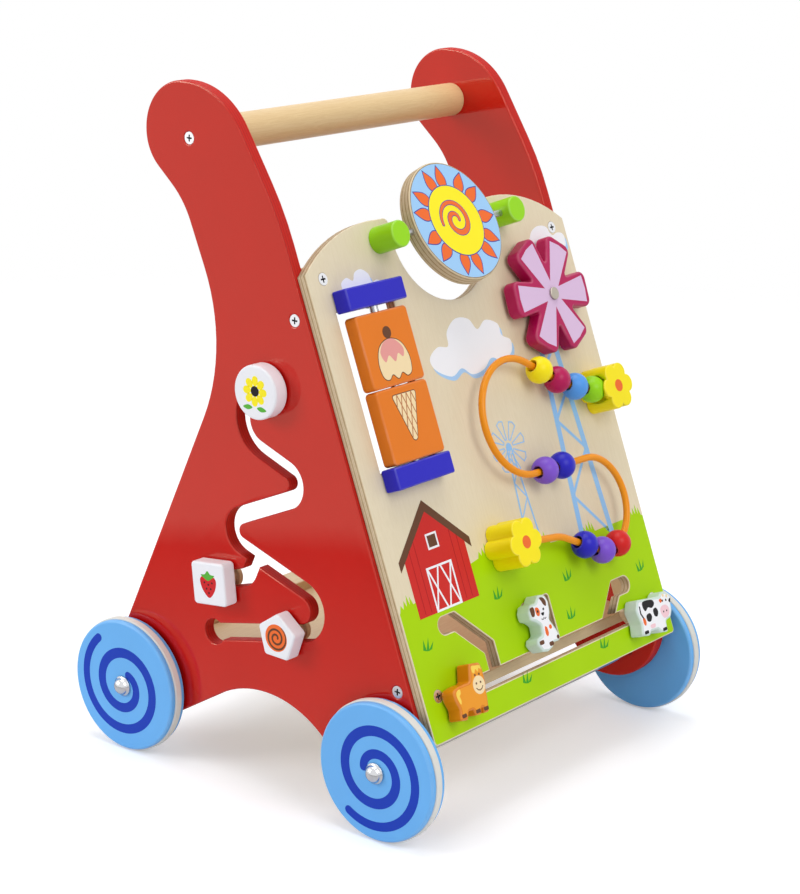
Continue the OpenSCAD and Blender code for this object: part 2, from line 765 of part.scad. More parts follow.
// The bent wire is a ring of corners carried along the run and closed at both ends
wire_sides = 16;
wire_rings = run_points(wire_run);
function wire_ring(p) = [
    for (k = [0:wire_sides - 1]) let (a = k * 360 / wire_sides)
        concat(xy(p) + wire_d / 2 * cos(a) * aim(p[2] + 90), wire_d / 2 * sin(a))
];
module bead_wire() {
    last = len(wire_rings) - 1;
    around = [for (i = [0:last - 1], k = [0:wire_sides - 1]) [
        i * wire_sides + k,
        i * wire_sides + (k + 1) % wire_sides,
        (i + 1) * wire_sides + (k + 1) % wire_sides,
        (i + 1) * wire_sides + k
    ]];
    start_face = [for (k = [wire_sides - 1:-1:0]) k];
    end_face = [for (k = [0:wire_sides - 1]) last * wire_sides + k];
    color(orange) on_board(0, 0, wire_h)
        polyhedron([for (p = wire_rings) each wire_ring(p)], concat(around, [start_face, end_face]));
}
module bead(place, paint) {
    color(paint) on_board(place[0], place[1], wire_h) rotate(place[2]) rotate([0, 90, 0]) difference() {
        sphere(d = bead_d);
        cylinder(d = bead_bore, h = 2 * bead_d, center = true);
    }
}

// Animal figures that slide in the maze; outlines from the lower left corner of each
horse_outline = [
    [-1.5, 2.6, 1.5], [5.6, 1.2, 1.5], [8.3, 6.3, 1.5], [13.4, 6.2, 1.5], [14.8, 1.6, 1], [20.2, 1, 1],
    [22.2, 5, 0.8], [23.8, 4.6, 0.8], [23.6, 0.8, 0.8], [28.8, 0.4, 1.5], [31, 10, 5], [31.3, 15, 3],
    [33, 19, 4], [33.4, 29, 4], [32, 34.2, 2], [21, 36, 2], [17, 24.4, 2.5], [6, 24.8, 4],
    [-2.2, 23.5, 3.5], [-1.6, 16, 6], [0.4, 10, 4]
];
dog_outline = [
    [1.5, -1.2, 3], [7.5, -2.4, 3], [13.2, -1, 2.5], [15.4, 2, 1.5], [22.5, 1.6, 1.5], [24.2, 4.5, 2],
    [22, 10.5, 5], [17.4, 18.5, 2.5], [20.3, 23.5, 4], [21.4, 31, 5], [18.8, 36.2, 3], [11.5, 37.6, 3],
    [6.8, 33.2, 1.8], [0, 33, 2.5], [-3.2, 28.5, 2.5], [-3, 22.8, 2], [2.2, 20.4, 2], [6.3, 17, 2.5],
    [5.4, 10, 2], [-0.8, 8.8, 2], [-3, 5.4, 2]
];
cow_outline = [
    [0, 1.8, 1.5], [9.7, -0.5, 1.5], [12, 2, 1.2], [20.8, 1.2, 1.2], [24, -1.8, 1.5], [32.6, -3.6, 1.5],
    [33.4, 4.6, 2], [40.5, 5.6, 2.5], [44, 10, 3], [45.2, 17, 1.5], [47.6, 19.4, 1.2], [44.5, 23.3, 2],
    [40, 25.8, 1.5], [35, 25.9, 1.5], [32.4, 23.8, 1.2], [4.5, 27.8, 3.5], [-0.2, 20.5, 4], [2.4, 10, 4]
];
horse_stem_at = [17, 17];
dog_stem_at = [10.4, 27.4];
cow_stem_at = [22, 17];
stem_bite = 5;
module figure(outline, stem_at, x, up) {
    on_board(x, up, figure_gap) difference() {
        translate([-stem_at[0], -stem_at[1], 0]) linear_extrude(figure_t) polygon(rounded(outline));
        stem_socket();
    }
}
module stem_socket() { translate([0, 0, -cut]) cylinder(d = stem_d, h = stem_bite + cut); }
// A stem that stands in a figure, passes through a plate of thickness t and ends in a flange behind it
module stem(t) {
    back = figure_gap + t + slip;
    translate([0, 0, -back]) cylinder(d = stem_d, h = back + stem_bite);
    translate([0, 0, -back - flange_t]) cylinder(d = flange_d, h = flange_t);
}
module board_stem(x, up) { color(wood) on_board(x, up, figure_gap) stem(board_t); }
horse_x = maze_left;
cow_x = maze_right;
module horse_figure() { color(brown) figure(horse_outline, horse_stem_at, horse_x, maze_up); }
module horse_stem() { board_stem(horse_x, maze_up); }
module dog_figure() { color(pale) figure(dog_outline, dog_stem_at, dog_x, dog_up); }
module dog_stem() { board_stem(dog_x, dog_up); }
module cow_figure() { color(pale) figure(cow_outline, cow_stem_at, cow_x, maze_up); }
module cow_stem() { board_stem(cow_x, maze_up); }

// Knobs that slide in the left panel, built outwards from the panel's face
knob_round = 3;
square_knob_turn = -7;
five_knob_turn = 19;
module on_left(at) {
    translate([-panel_face_x - figure_gap, at[0], at[1]])
        rotate([90, 0, -90])
        mirror([1, 0, 0])
        children();
}
module side_stem(at) { color(wood) on_left(at) stem(panel_t); }
module round_knob() {
    color(pale) on_left(round_knob_at) difference() {
        cylinder(d = round_knob_d, h = figure_t);
        stem_socket();
    }
}
module sided_knob(at, sides, reach, turn) {
    corners = [for (i = [0:sides - 1]) concat(reach * aim(turn + i * 360 / sides), knob_round)];
    color(pale) on_left(at) difference() {
        linear_extrude(figure_t) polygon(rounded(corners));
        stem_socket();
    }
}
module square_knob() { sided_knob(square_knob_at, 4, square_knob_w / sqrt(2), square_knob_turn + 45); }
module five_knob() { sided_knob(five_knob_at, 5, five_knob_d / 2, five_knob_turn); }
module round_knob_stem() { side_stem(round_knob_at); }
module square_knob_stem() { side_stem(square_knob_at); }
module five_knob_stem() { side_stem(five_knob_at); }

side_panel_left();
side_panel_right();
handle_bar();
activity_board();
corner_blocks();
shelf_board();
rear_rail();
side_screws();
board_screws();
front_axle();
rear_axle();
axle_caps();
axle_washers();
wheel(-1, front_y);  // wheel_front_left
wheel(1, front_y);  // wheel_front_right
wheel(-1, rear_y);  // wheel_rear_left
wheel(1, rear_y);  // wheel_rear_right
tyre(-1, front_y);  // tyre_front_left
tyre(1, front_y);  // tyre_front_right
tyre(-1, rear_y);  // tyre_rear_left
tyre(1, rear_y);  // tyre_rear_right
disc_peg(-1);  // disc_peg_left
disc_peg(1);  // disc_peg_right
disc_rod();
turning_disc();
block_holder_top();
block_holder_bottom();
block_rod();
turning_block_upper();
turning_block_lower();
windmill_pin();
windmill();
flower_block_upper();
flower_block_lower();
bead_wire();
bead(bead_top[0], yellow);  // bead_yellow
bead(bead_top[1], magenta);  // bead_magenta
bead(bead_top[2], sky);  // bead_sky
bead(bead_top[3], lime);  // bead_lime
bead(bead_mid[0], violet);  // bead_violet_middle
bead(bead_mid[1], navy);  // bead_navy_middle
bead(bead_low[2], red);  // bead_red
bead(bead_low[1], violet);  // bead_violet_low
bead(bead_low[0], navy);  // bead_navy_low
horse_figure();
horse_stem();
dog_figure();
dog_stem();
cow_figure();
cow_stem();
round_knob();
round_knob_stem();
square_knob();
square_knob_stem();
five_knob();
five_knob_stem();
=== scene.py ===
# %% [markdown]
# # A wooden push walker
# The walker is a painted plywood toy: red side panels on four wheels, a dowel handle, and a
# sloping board of turning, sliding and spinning toys. The exact shapes come from the frame.
# This lesson gives each piece rounded edges, paint, grain and print, so that it looks made.

# %% Load the frame
from math import asin, atan2, ceil, cos, degrees, pi, radians, sin, tan

import bmesh
import bpy
from mathutils import Matrix, Vector


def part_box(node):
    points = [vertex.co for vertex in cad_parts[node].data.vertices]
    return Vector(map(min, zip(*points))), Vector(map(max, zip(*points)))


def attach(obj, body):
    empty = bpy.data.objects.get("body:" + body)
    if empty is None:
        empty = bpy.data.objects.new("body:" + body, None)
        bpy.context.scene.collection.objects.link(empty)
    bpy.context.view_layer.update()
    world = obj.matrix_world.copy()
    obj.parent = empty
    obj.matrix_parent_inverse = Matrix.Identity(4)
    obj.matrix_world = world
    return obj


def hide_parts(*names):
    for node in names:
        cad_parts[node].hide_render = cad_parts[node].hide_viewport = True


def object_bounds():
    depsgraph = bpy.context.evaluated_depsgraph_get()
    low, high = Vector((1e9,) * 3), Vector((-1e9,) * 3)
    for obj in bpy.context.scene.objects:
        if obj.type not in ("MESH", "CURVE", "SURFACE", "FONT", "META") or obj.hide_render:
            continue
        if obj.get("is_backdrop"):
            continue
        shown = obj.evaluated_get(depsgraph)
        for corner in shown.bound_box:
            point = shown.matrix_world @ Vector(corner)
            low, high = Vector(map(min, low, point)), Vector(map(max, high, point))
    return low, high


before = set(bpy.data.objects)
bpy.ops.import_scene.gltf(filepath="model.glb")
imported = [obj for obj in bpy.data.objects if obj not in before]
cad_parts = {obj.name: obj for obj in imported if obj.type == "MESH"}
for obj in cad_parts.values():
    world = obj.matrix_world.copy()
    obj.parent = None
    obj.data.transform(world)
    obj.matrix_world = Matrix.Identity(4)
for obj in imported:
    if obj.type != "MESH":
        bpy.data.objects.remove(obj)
cad_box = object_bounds()
MM = 0.001

# %% [markdown]
# ## The camera
# A camera is a place and three turns. The real picture was taken from the front left, a
# little above the toy, and tilted by about one degree. A constraint could aim the camera at
# the toy, but it couldn't give that small tilt, so the camera gets the angles themselves.

# %% Camera
CAMERA_PLACE = Vector((-1.3099, -1.0381, 0.6961))
AZIMUTH, ELEVATION, ROLL = (radians(v) for v in (-51.66, 15.91, 1.25))
SENSOR_W, FOCAL_LENGTH = 36, 106.4


def turned(angle, axis):
    """A frame turned about one axis."""
    return Matrix.Rotation(angle, 4, axis)


def shifted(x, y, z):
    """A frame moved, in metres."""
    return Matrix.Translation((x, y, z))


def show(obj):
    """An object linked into the scene."""
    bpy.context.scene.collection.objects.link(obj)
    return obj


lens = bpy.data.cameras.new("camera")
lens.sensor_fit, lens.sensor_width, lens.lens = "HORIZONTAL", SENSOR_W, FOCAL_LENGTH
camera = show(bpy.data.objects.new("camera", lens))
aim = turned(AZIMUTH, "Z") @ turned(pi / 2 - ELEVATION, "X") @ turned(ROLL, "Z")
camera.matrix_world = shifted(*CAMERA_PLACE) @ aim
bpy.context.scene.camera = camera
print("camera", [round(v, 3) for v in camera.location])

# %% [markdown]
# ## Frames of reference
# Flat pieces are easiest to draw flat. Each frame below turns a drawing's own axes, across,
# up and out, into the walker's axes: one for the sloping board, one for the outer side of
# each panel.

# %% Frames
TILT, PANEL_X = radians(21.4), 0.151
BOARD_T, PANEL_T = 8.0, 10.0
BOARD = shifted(0, -0.155, 0.073) @ turned(pi / 2 - TILT, "X")
LEFT = Matrix(((0, 0, -1, 0), (-1, 0, 0, 0), (0, 1, 0, 0), (0, 0, 0, 1)))
RIGHT = Matrix(((0, 0, 1, 0), (1, 0, 0, 0), (0, 1, 0, 0), (0, 0, 0, 1)))
PANEL_FACES = {"left": LEFT @ shifted(0, 0, PANEL_X), "right": RIGHT @ shifted(0, 0, PANEL_X)}


def place(base, across, along, out=0.0, turn=0.0):
    """A frame moved and turned within another one, in millimetres and degrees."""
    return base @ shifted(across * MM, along * MM, out * MM) @ turned(radians(turn), "Z")


print("board normal", [round(v, 3) for v in BOARD.to_3x3() @ Vector((0, 0, 1))])

# %% [markdown]
# ## Colour
# Paint colours are written as they look on a screen, from 0 to 255, and turned into the
# linear light that a shader works in. Linear values could be typed in directly, but a screen
# colour is easier to judge and to change.


# %% Colour helper
def tone(r, g, b):
    """A screen colour as linear light with full alpha."""
    def linear(c):
        c /= 255
        return c / 12.92 if c <= 0.04045 else ((c + 0.055) / 1.055) ** 2.4
    return (linear(r), linear(g), linear(b), 1.0)


print("middle grey", [round(v, 3) for v in tone(128, 128, 128)])

# %% [markdown]
# ## Shared finishes as node groups
# Several materials need the same thing: a paint film that is a little uneven, wood grain,
# and the layers on a plywood edge. Each could be drawn anew in every material. Here each is
# a node group with named sockets, built once, so that a change reaches every material. A
# small class keeps the building of a node tree short.


# %% Node tree helpers
class Tree:
    """A node tree with short ways to add nodes."""

    def __init__(self, tree):
        self.nodes, self.links = tree.nodes, tree.links

    def feed(self, source, socket):
        """A link into a socket, or a constant set on it."""
        if isinstance(source, bpy.types.NodeSocket):
            self.links.new(source, socket)
        else:
            socket.default_value = source

    def add(self, kind, sources=(), **settings):
        """A node with its settings; sources feed its inputs, by name or number."""
        node = self.nodes.new("ShaderNode" + kind)
        for key, value in settings.items():
            setattr(node, key, value)
        for key, source in dict(sources).items():
            self.feed(source, node.inputs[key])
        return node

    def where(self):
        """The place of a point on its object."""
        return self.add("TexCoord").outputs["Object"]

    def noise(self, where, scale, detail, **more):
        """Noise between 0 and 1."""
        sources = {"Vector": where, "Scale": scale, "Detail": detail, **more}
        return self.add("TexNoise", sources).outputs["Fac"]

    def maths(self, operation, *values):
        """The result of one maths node."""
        return self.add("Math", enumerate(values), operation=operation).outputs[0]

    def vectors(self, operation, *values):
        """The outputs of one vector maths node."""
        return self.add("VectorMath", enumerate(values), operation=operation).outputs

    def swing(self, noise, amount):
        """Noise about zero, as wide as an amount."""
        return self.maths("MULTIPLY", self.maths("SUBTRACT", noise, 0.5), amount)

    def spread(self, value, low, high, to_low, to_high):
        """A value taken from one range to another, held at both ends."""
        return self.add("MapRange", enumerate((value, low, high, to_low, to_high))).outputs[0]

    def mixed(self, factor, first, second):
        """Two colours mixed."""
        return self.add("Mix", {0: factor, 6: first, 7: second}, data_type="RGBA").outputs[2]


def new_group(name, takes, gives):
    """A node group: itself, its tree, what it is given and where its results go."""
    group = bpy.data.node_groups.new(name, "ShaderNodeTree")
    for way, sockets in (("INPUT", takes), ("OUTPUT", gives)):
        for label, kind in sockets.items():
            group.interface.new_socket(label, in_out=way, socket_type="NodeSocket" + kind)
    given, result = group.nodes.new("NodeGroupInput"), group.nodes.new("NodeGroupOutput")
    return group, Tree(group), given.outputs, result.inputs


print("helpers ready")

# %% [markdown]
# The paint on a toy like this is sprayed on sanded wood. It lies a little thicker in some
# places, its surface has a fine peel, and it is rubbed lighter along the rounded edges. The
# edges carry a mesh attribute named edge, which is 1 on the rounding. That is surer than a
# bevel or pointiness node, which would depend on the mesh or slow the render.

# %% Paint film group
CLOUD_SCALE, SMEAR_SCALE, PEEL_SCALE = 22.0, 70.0, 520.0
UNEVEN_GLOSS, PALER = 0.16, 0.3
paint_film, tree, given, result = new_group(
    "paint_film",
    {"Colour": "Color", "Mottle": "Float", "Rub": "Float", "Gloss": "Float"},
    {"Colour": "Color", "Roughness": "Float", "Height": "Float"},
)
where = tree.where()
smear = tree.noise(where, SMEAR_SCALE, 4.0)
swing = tree.swing(tree.noise(where, CLOUD_SCALE, 3.0), given["Mottle"])
level = tree.maths("ADD", 1.0, tree.maths("MULTIPLY", swing, 2.0))
scaled = tree.add("VectorMath", {0: given["Colour"], "Scale": level}, operation="SCALE")
shaded = scaled.outputs[0]
edge = tree.add("Attribute", attribute_name="edge").outputs["Fac"]
most = tree.maths("MULTIPLY", edge, given["Rub"])
rubbed = tree.maths("MULTIPLY", most, tree.spread(smear, 0.35, 0.7, 0.2, 1.0))
paler = tree.mixed(PALER, shaded, (1, 1, 1, 1))
tree.feed(tree.mixed(rubbed, shaded, paler), result["Colour"])
rough = tree.maths("ADD", given["Gloss"], tree.swing(smear, UNEVEN_GLOSS))
tree.feed(rough, result["Roughness"])
tree.feed(tree.noise(where, PEEL_SCALE, 2.0), result["Height"])
print("paint_film", len(paint_film.nodes), "nodes")

# %% [markdown]
# Wood grain is long streaks: noise that is stretched along the trunk, with slow bands for
# the year rings and short dark pores. A wave texture makes rings too, but they come out too
# even, so the sine of a slow noise makes them here. The group takes its own vector, so that
# each piece can say which way its grain runs.

# %% Wood grain group
RING_SCALE, RINGS, FIBRE_SCALE, PORE_SCALE = 4.0, 46.0, 60.0, 150.0
wood_grain, tree, given, result = new_group(
    "wood_grain",
    {"Vector": "Vector", "Light": "Color", "Dark": "Color", "Strength": "Float"},
    {"Colour": "Color", "Roughness": "Float", "Height": "Float"},
)
drift = tree.noise(given["Vector"], RING_SCALE, 2.0, Distortion=0.4)
bands = tree.maths("SINE", tree.maths("MULTIPLY", drift, RINGS))
fibre = tree.noise(given["Vector"], FIBRE_SCALE, 5.0, Roughness=0.65)
pores = tree.noise(given["Vector"], PORE_SCALE, 1.0)
ring = tree.spread(bands, -1.0, 1.0, 0.0, 0.45)
streak = tree.spread(fibre, 0.3, 0.72, 0.0, 0.55)
pore = tree.spread(pores, 0.66, 0.74, 0.0, 0.35)
figure = tree.maths("ADD", tree.maths("ADD", ring, streak), pore)
amount = tree.maths("MULTIPLY", figure, given["Strength"])
tree.feed(tree.mixed(amount, given["Light"], given["Dark"]), result["Colour"])
tree.feed(tree.spread(figure, 0.0, 1.2, 0.36, 0.52), result["Roughness"])
tree.feed(tree.maths("SUBTRACT", 1.0, figure), result["Height"])
print("wood_grain", len(wood_grain.nodes), "nodes")

# %% [markdown]
# On a plywood edge every second layer shows its end grain and looks darker, with a thin
# dark glue line between. A stack of thin plates would show that too, but at the cost of many
# more faces, so the group turns a depth through the plate into such layers.

# %% Plywood edge group
END_GRAIN_SCALE, WAVINESS = 240.0, 0.16
ply_edge, tree, given, result = new_group(
    "ply_edge",
    {"Depth": "Float", "Light": "Color", "Dark": "Color", "Glue": "Color"},
    {"Colour": "Color", "Roughness": "Float"},
)


def off_middle(value):
    """How far a value is from the middle of its whole step."""
    return tree.maths("ABSOLUTE", tree.maths("SUBTRACT", tree.maths("FRACT", value), 0.5))


grain = tree.noise(tree.where(), END_GRAIN_SCALE, 4.0)
layer = tree.maths("ADD", given["Depth"], tree.swing(grain, WAVINESS))
cross = tree.spread(off_middle(tree.maths("MULTIPLY", layer, 0.5)), 0.23, 0.27, 1.0, 0.0)
line = tree.spread(off_middle(tree.maths("ADD", layer, 0.5)), 0.03, 0.12, 0.85, 0.0)
speckle = tree.spread(grain, 0.3, 0.7, 0.0, 0.5)
dark_layer = tree.mixed(speckle, given["Dark"], given["Light"])
layers = tree.mixed(cross, given["Light"], dark_layer)
tree.feed(tree.mixed(line, layers, given["Glue"]), result["Colour"])
tree.feed(tree.spread(grain, 0.0, 1.0, 0.5, 0.75), result["Roughness"])
print("ply_edge", len(ply_edge.nodes), "nodes")

# %% [markdown]
# ## Materials from the groups
# Each paint, ink or wood is a material of its own with one Principled shader. The shader's
# constant values are set on its sockets, and only what changes over the surface is linked.

# %% Material helpers
PEEL_H, GRAIN_H, GRAIN_BUMP = 0.0002, 0.0003, 0.15


def new_material(name, constants):
    """A material: itself, its tree and its shader's sockets, with constants set on them."""
    material = bpy.data.materials.new(name)
    material.use_nodes = True
    sockets = material.node_tree.nodes["Principled BSDF"].inputs
    for label, value in constants.items():
        sockets[label].default_value = value
    return material, Tree(material.node_tree), sockets


def dress(tree, sockets, group, sources, bump=0.0, height=0.0):
    """A node group placed in a material and linked into its shader."""
    look = tree.add("Group", sources, node_tree=group).outputs
    tree.feed(look["Colour"], sockets["Base Color"])
    tree.feed(look["Roughness"], sockets["Roughness"])
    if bump:
        relief = {"Height": look["Height"], "Strength": bump, "Distance": height}
        tree.feed(tree.add("Bump", relief).outputs["Normal"], sockets["Normal"])


def painted(name, rgb, gloss=0.34, rub=0.25, mottle=0.06, coat=0.05, shine=0.24, peel=0.12):
    """A sprayed paint: uneven film, fine peel and a thin clear coat."""
    constants = {"Specular IOR Level": shine, "Coat Weight": coat, "Coat Roughness": 0.18}
    material, tree, sockets = new_material(name, constants)
    film = {"Colour": tone(*rgb), "Gloss": gloss, "Rub": rub, "Mottle": mottle}
    dress(tree, sockets, paint_film, film, peel, PEEL_H)
    return material


def wooden(name, light, dark, stretch, strength, tilt=0.0):
    """Lacquered bare wood; stretch gives how much each axis squeezes the grain."""
    material, tree, sockets = new_material(name, {"Coat Weight": 0.15, "Coat Roughness": 0.3})
    level = tree.add("VectorRotate", {"Vector": tree.where(), "Angle": tilt}, rotation_type="X_AXIS")
    wood = {"Vector": tree.vectors("MULTIPLY", level.outputs[0], stretch)[0], "Strength": strength}
    wood.update({"Light": tone(*light), "Dark": tone(*dark)})
    dress(tree, sockets, wood_grain, wood, GRAIN_BUMP, GRAIN_H)
    return material


print("material helpers ready")

# %% [markdown]
# ## Paints, woods and metals
# The panels are a glossy red that mirrors the room, in a slightly warm tint. The wheels are
# a light blue, and the toys on the board have bright plain colours. The bare wood is pale
# beech, birch and pine.

# %% Palette
red_paint = painted("red_paint", (197, 12, 9), gloss=0.05, mottle=0.05, rub=0.05, coat=0.0,
                    shine=0.56, peel=0.02)
red_shader = red_paint.node_tree.nodes["Principled BSDF"]
red_shader.inputs["Specular Tint"].default_value = (1.0, 0.98, 0.72, 1)
wheel_paint = painted("wheel_paint", (106, 178, 240), gloss=0.36)
wheel_ink = painted("wheel_ink", (4, 56, 180), gloss=0.4, rub=0.0)
tyre_rubber = painted("tyre_rubber", (222, 220, 214), gloss=0.55, rub=0.1, coat=0.0)
lime_paint = painted("lime_paint", (152, 218, 16))
navy_paint = painted("navy_paint", (36, 30, 188))
orange_paint = painted("orange_paint", (230, 122, 22))
magenta_paint = painted("magenta_paint", (180, 12, 84))
yellow_paint = painted("yellow_paint", (252, 232, 4))
sky_paint = painted("sky_paint", (84, 156, 234))
violet_paint = painted("violet_paint", (126, 82, 206))
bead_red_paint = painted("bead_red_paint", (212, 26, 24))
wire_coat = painted("wire_coat", (240, 148, 18), gloss=0.3)
white_paint = painted("white_paint", (238, 239, 244), mottle=0.03, rub=0.0)
mint_paint = painted("mint_paint", (212, 228, 222), mottle=0.03, rub=0.0)
tan_paint = painted("tan_paint", (224, 130, 14))
beech = wooden("beech", (228, 198, 146), (202, 164, 112), (4.0, 60.0, 60.0), 0.45)
birch = wooden("birch", (230, 216, 186), (212, 194, 158), (45.0, 45.0, 5.0), 0.3, TILT)
pine = wooden("pine", (222, 202, 160), (196, 168, 122), (5.0, 50.0, 50.0), 0.4)
print("materials", len(bpy.data.materials))

# %% [markdown]
# A plywood edge needs the depth through the plate, counted in layers. The distance below the
# plate's face gives it: a dot product with the face's normal, less a constant. The red paint
# on the panels is thin, so their layers still show faintly in the cut edges.

# %% Plywood edges
BOARD_LAYERS, PANEL_LAYERS = 5, 9
BARE = (tone(216, 198, 164), tone(176, 150, 112), tone(128, 106, 78))
UNDER_RED = (tone(204, 30, 16), tone(176, 20, 10), tone(128, 14, 8))


def layered(name, base, thickness, layers, light, dark, glue):
    """The cut edge of a plywood plate whose face lies in a frame's own plane."""
    material, tree, sockets = new_material(name, {"Specular IOR Level": 0.28})
    out = base.to_3x3() @ Vector((0, 0, 1))
    through = tree.vectors("DOT_PRODUCT", tree.where(), out)["Value"]
    from_face = tree.maths("SUBTRACT", out.dot(base.translation), through)
    depth = tree.maths("MULTIPLY", from_face, layers / (thickness * MM))
    plies = {"Depth": depth, "Light": light, "Dark": dark, "Glue": glue}
    dress(tree, sockets, ply_edge, plies)
    return material


ply_side = layered("ply_side", BOARD, BOARD_T, BOARD_LAYERS, *BARE)
red_edges = {}
for side, face in PANEL_FACES.items():
    red_edges[side] = layered("red_edge_" + side, face, PANEL_T, PANEL_LAYERS, *UNDER_RED)
print("plywood edges", 1 + len(red_edges))

# %% [markdown]
# The metal parts are plated steel. A metal shows only reflections, so fine noise in its
# roughness does more for it than colour. The screws' cross slots get a dark steel, a painted
# shade in the recess.

# %% Metals
METAL_SHADE = 0.86


def metal(name, rgb, rough_low, rough_high, scale):
    """Bare metal whose polish varies a little."""
    material, tree, sockets = new_material(name, {"Metallic": 1.0})
    scratches = tree.noise(tree.where(), scale, 5.0)
    tree.feed(tree.spread(scratches, 0.3, 0.7, rough_low, rough_high), sockets["Roughness"])
    light = tone(*rgb)
    dark = (*(METAL_SHADE * c for c in light[:3]), 1)
    tree.feed(tree.mixed(scratches, light, dark), sockets["Base Color"])
    return material


steel = metal("steel", (196, 198, 202), 0.22, 0.42, 600.0)
bright_steel = metal("bright_steel", (226, 227, 230), 0.08, 0.2, 300.0)
rivet_steel = metal("rivet_steel", (190, 182, 168), 0.34, 0.5, 700.0)
screw_steel = metal("screw_steel", (240, 241, 244), 0.26, 0.42, 500.0)
# Painted shade: a dark steel for the faces in the screws' recessed crosses.
painted_shade_steel = metal("painted_shade_steel", (70, 70, 74), 0.4, 0.6, 500.0)
print("metals", steel.name, bright_steel.name, rivet_steel.name)

# %% [markdown]
# ## Building tools
# Most pieces are flat plates with a rounded edge or shapes turned on a lathe. A filled 2D
# curve gives the first: it takes holes, a thickness and a round bevel. A spun profile gives
# the second. Weighted normals keep the flat faces flat next to the rounding.


# %% Outline tools
def polar(r, angle):
    """A point at a radius and an angle."""
    return (r * cos(angle), r * sin(angle))


def even(n):
    """Even steps from 0 to 1."""
    return [k / n for k in range(n + 1)]


def moved(loop, x=0.0, y=0.0, turn=0.0):
    """A loop turned and moved."""
    c, s = polar(1, radians(turn))
    return [(x + c * px - s * py, y + s * px + c * py) for px, py in loop]


def disc(x, y, r, n=48):
    """A circle as a loop of points."""
    return moved([polar(r, 2 * pi * k / n) for k in range(n)], x, y)


def rounded(corners, n=6):
    """A closed loop from corners (x, y, radius), each rounded by an arc of n steps."""
    loop = []
    for i, (x, y, r) in enumerate(corners):
        if r == 0:
            loop.append((x, y))
            continue
        p = Vector((x, y))
        a = (Vector(corners[i - 1][:2]) - p).normalized()
        b = (Vector(corners[(i + 1) % len(corners)][:2]) - p).normalized()
        half = a.angle(b) / 2
        centre = p + (a + b).normalized() * (r / sin(half))
        first = p + a * (r / tan(half)) - centre
        sweep = degrees(pi - 2 * half) * (1 if a.cross(b) < 0 else -1)
        for t in even(n):
            loop += moved([first], *centre, sweep * t)
    return loop


def plate_loop(w, h, r):
    """A rounded rectangle about its middle."""
    return rounded([(x * w / 2, y * h / 2, r) for x, y in ((-1, -1), (1, -1), (1, 1), (-1, 1))])


print("a card's outline", len(plate_loop(60, 40, 3)), "points")

# %% [markdown]
# Drawn shapes need freer lines: a smooth loop through a few points, a line that swells like
# a brush stroke, and an outline that runs beside another one. Bezier curves could give the
# first two, but plain points can also be moved, grown and printed.


# %% Line tools
def flowing(points, n=8):
    """A smooth closed loop through points."""
    loop, m = [], len(points)
    for i in range(m):
        p0, p1, p2, p3 = (Vector(points[(i + k) % m]) for k in (-1, 0, 1, 2))
        for t in even(n)[:-1]:
            curve = (2 * p0 - 5 * p1 + 4 * p2 - p3) * t + (3 * p1 - p0 - 3 * p2 + p3) * t * t
            loop.append((p1 + (p2 - p0 + curve) * t / 2).to_tuple())
    return loop


def swelling(points, widths, end=6):
    """A line with round ends whose width changes along it, as a closed loop."""
    middle = [Vector(p) for p in points]
    halves = []
    for i, width in enumerate(widths):
        d = (middle[min(i + 1, len(middle) - 1)] - middle[max(i - 1, 0)]).normalized()
        halves.append(Vector((-d.y, d.x)) * width / 2)

    def cap(p, half):
        return [p + Matrix.Rotation(-pi * t, 2) @ half for t in even(end)[1:-1]]

    there = [p + half for p, half in zip(middle, halves)] + cap(middle[-1], halves[-1])
    back = [p - half for p, half in zip(middle, halves)][::-1] + cap(middle[0], -halves[0])
    return [p.to_tuple() for p in there + back]


def stroke(points, width):
    """A line of one width with round ends, as a closed loop."""
    return swelling(points, [width] * len(points))


def grown(loop, by):
    """A loop moved outwards by a distance; a negative one moves it inwards."""
    pts = [Vector(p) for p in loop]
    pts = [p for i, p in enumerate(pts) if (p - pts[i - 1]).length > 1e-4]
    area = sum(a.cross(b) for a, b in zip(pts, pts[1:] + pts[:1]))
    side = by if area > 0 else -by
    out = []
    for i, p in enumerate(pts):
        a, b = (p - pts[i - 1]).normalized(), (pts[(i + 1) % len(pts)] - p).normalized()
        n = Vector((a.y + b.y, -a.x - b.x)).normalized()
        reach = side / max(n.dot(Vector((a.y, -a.x))), 0.5)
        out.append((p + n * reach).to_tuple())
    return out


print("a dot's outline", len(flowing([(-1, 0), (0, 1), (1, 0), (0, -1)])), "points")

# %% [markdown]
# The frame's meshes already hold each exact outline, as the border of a flat face. It could
# be typed in again, but reading it keeps every hole where the CAD has it.

# %% Outlines from the frame
FACE_NEAR, FACE_UP, CAD_WELD = 5e-5, 0.99, 2e-6


def face_loops(node, base, out):
    """The loops round a CAD node's flat face at height out in a frame, in millimetres."""
    bm = bmesh.new()
    bm.from_mesh(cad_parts[node].data)
    bmesh.ops.transform(bm, matrix=base.inverted(), verts=bm.verts)
    bmesh.ops.remove_doubles(bm, verts=bm.verts, dist=CAD_WELD)
    bm.normal_update()
    facing = [f for f in bm.faces if f.normal.z > FACE_UP]
    chosen = {f for f in facing if abs(f.calc_center_median().z - out * MM) < FACE_NEAR}
    ways = {}
    for e in bm.edges:
        if sum(f in chosen for f in e.link_faces) == 1:
            a, b = e.verts
            ways.setdefault(a, []).append(b)
            ways.setdefault(b, []).append(a)
    loops = []
    while ways:
        v = next(iter(ways))
        loop = []
        while v in ways:
            loop.append((v.co.x / MM, v.co.y / MM))
            onward = ways.pop(v)
            v = next((w for w in onward if w in ways), None)
        if len(loop) > 2:
            loops.append(loop)
    bm.free()
    return loops


board_loops = face_loops("activity_board", BOARD, 0.0)
print("board outline and holes", [len(loop) for loop in board_loops])
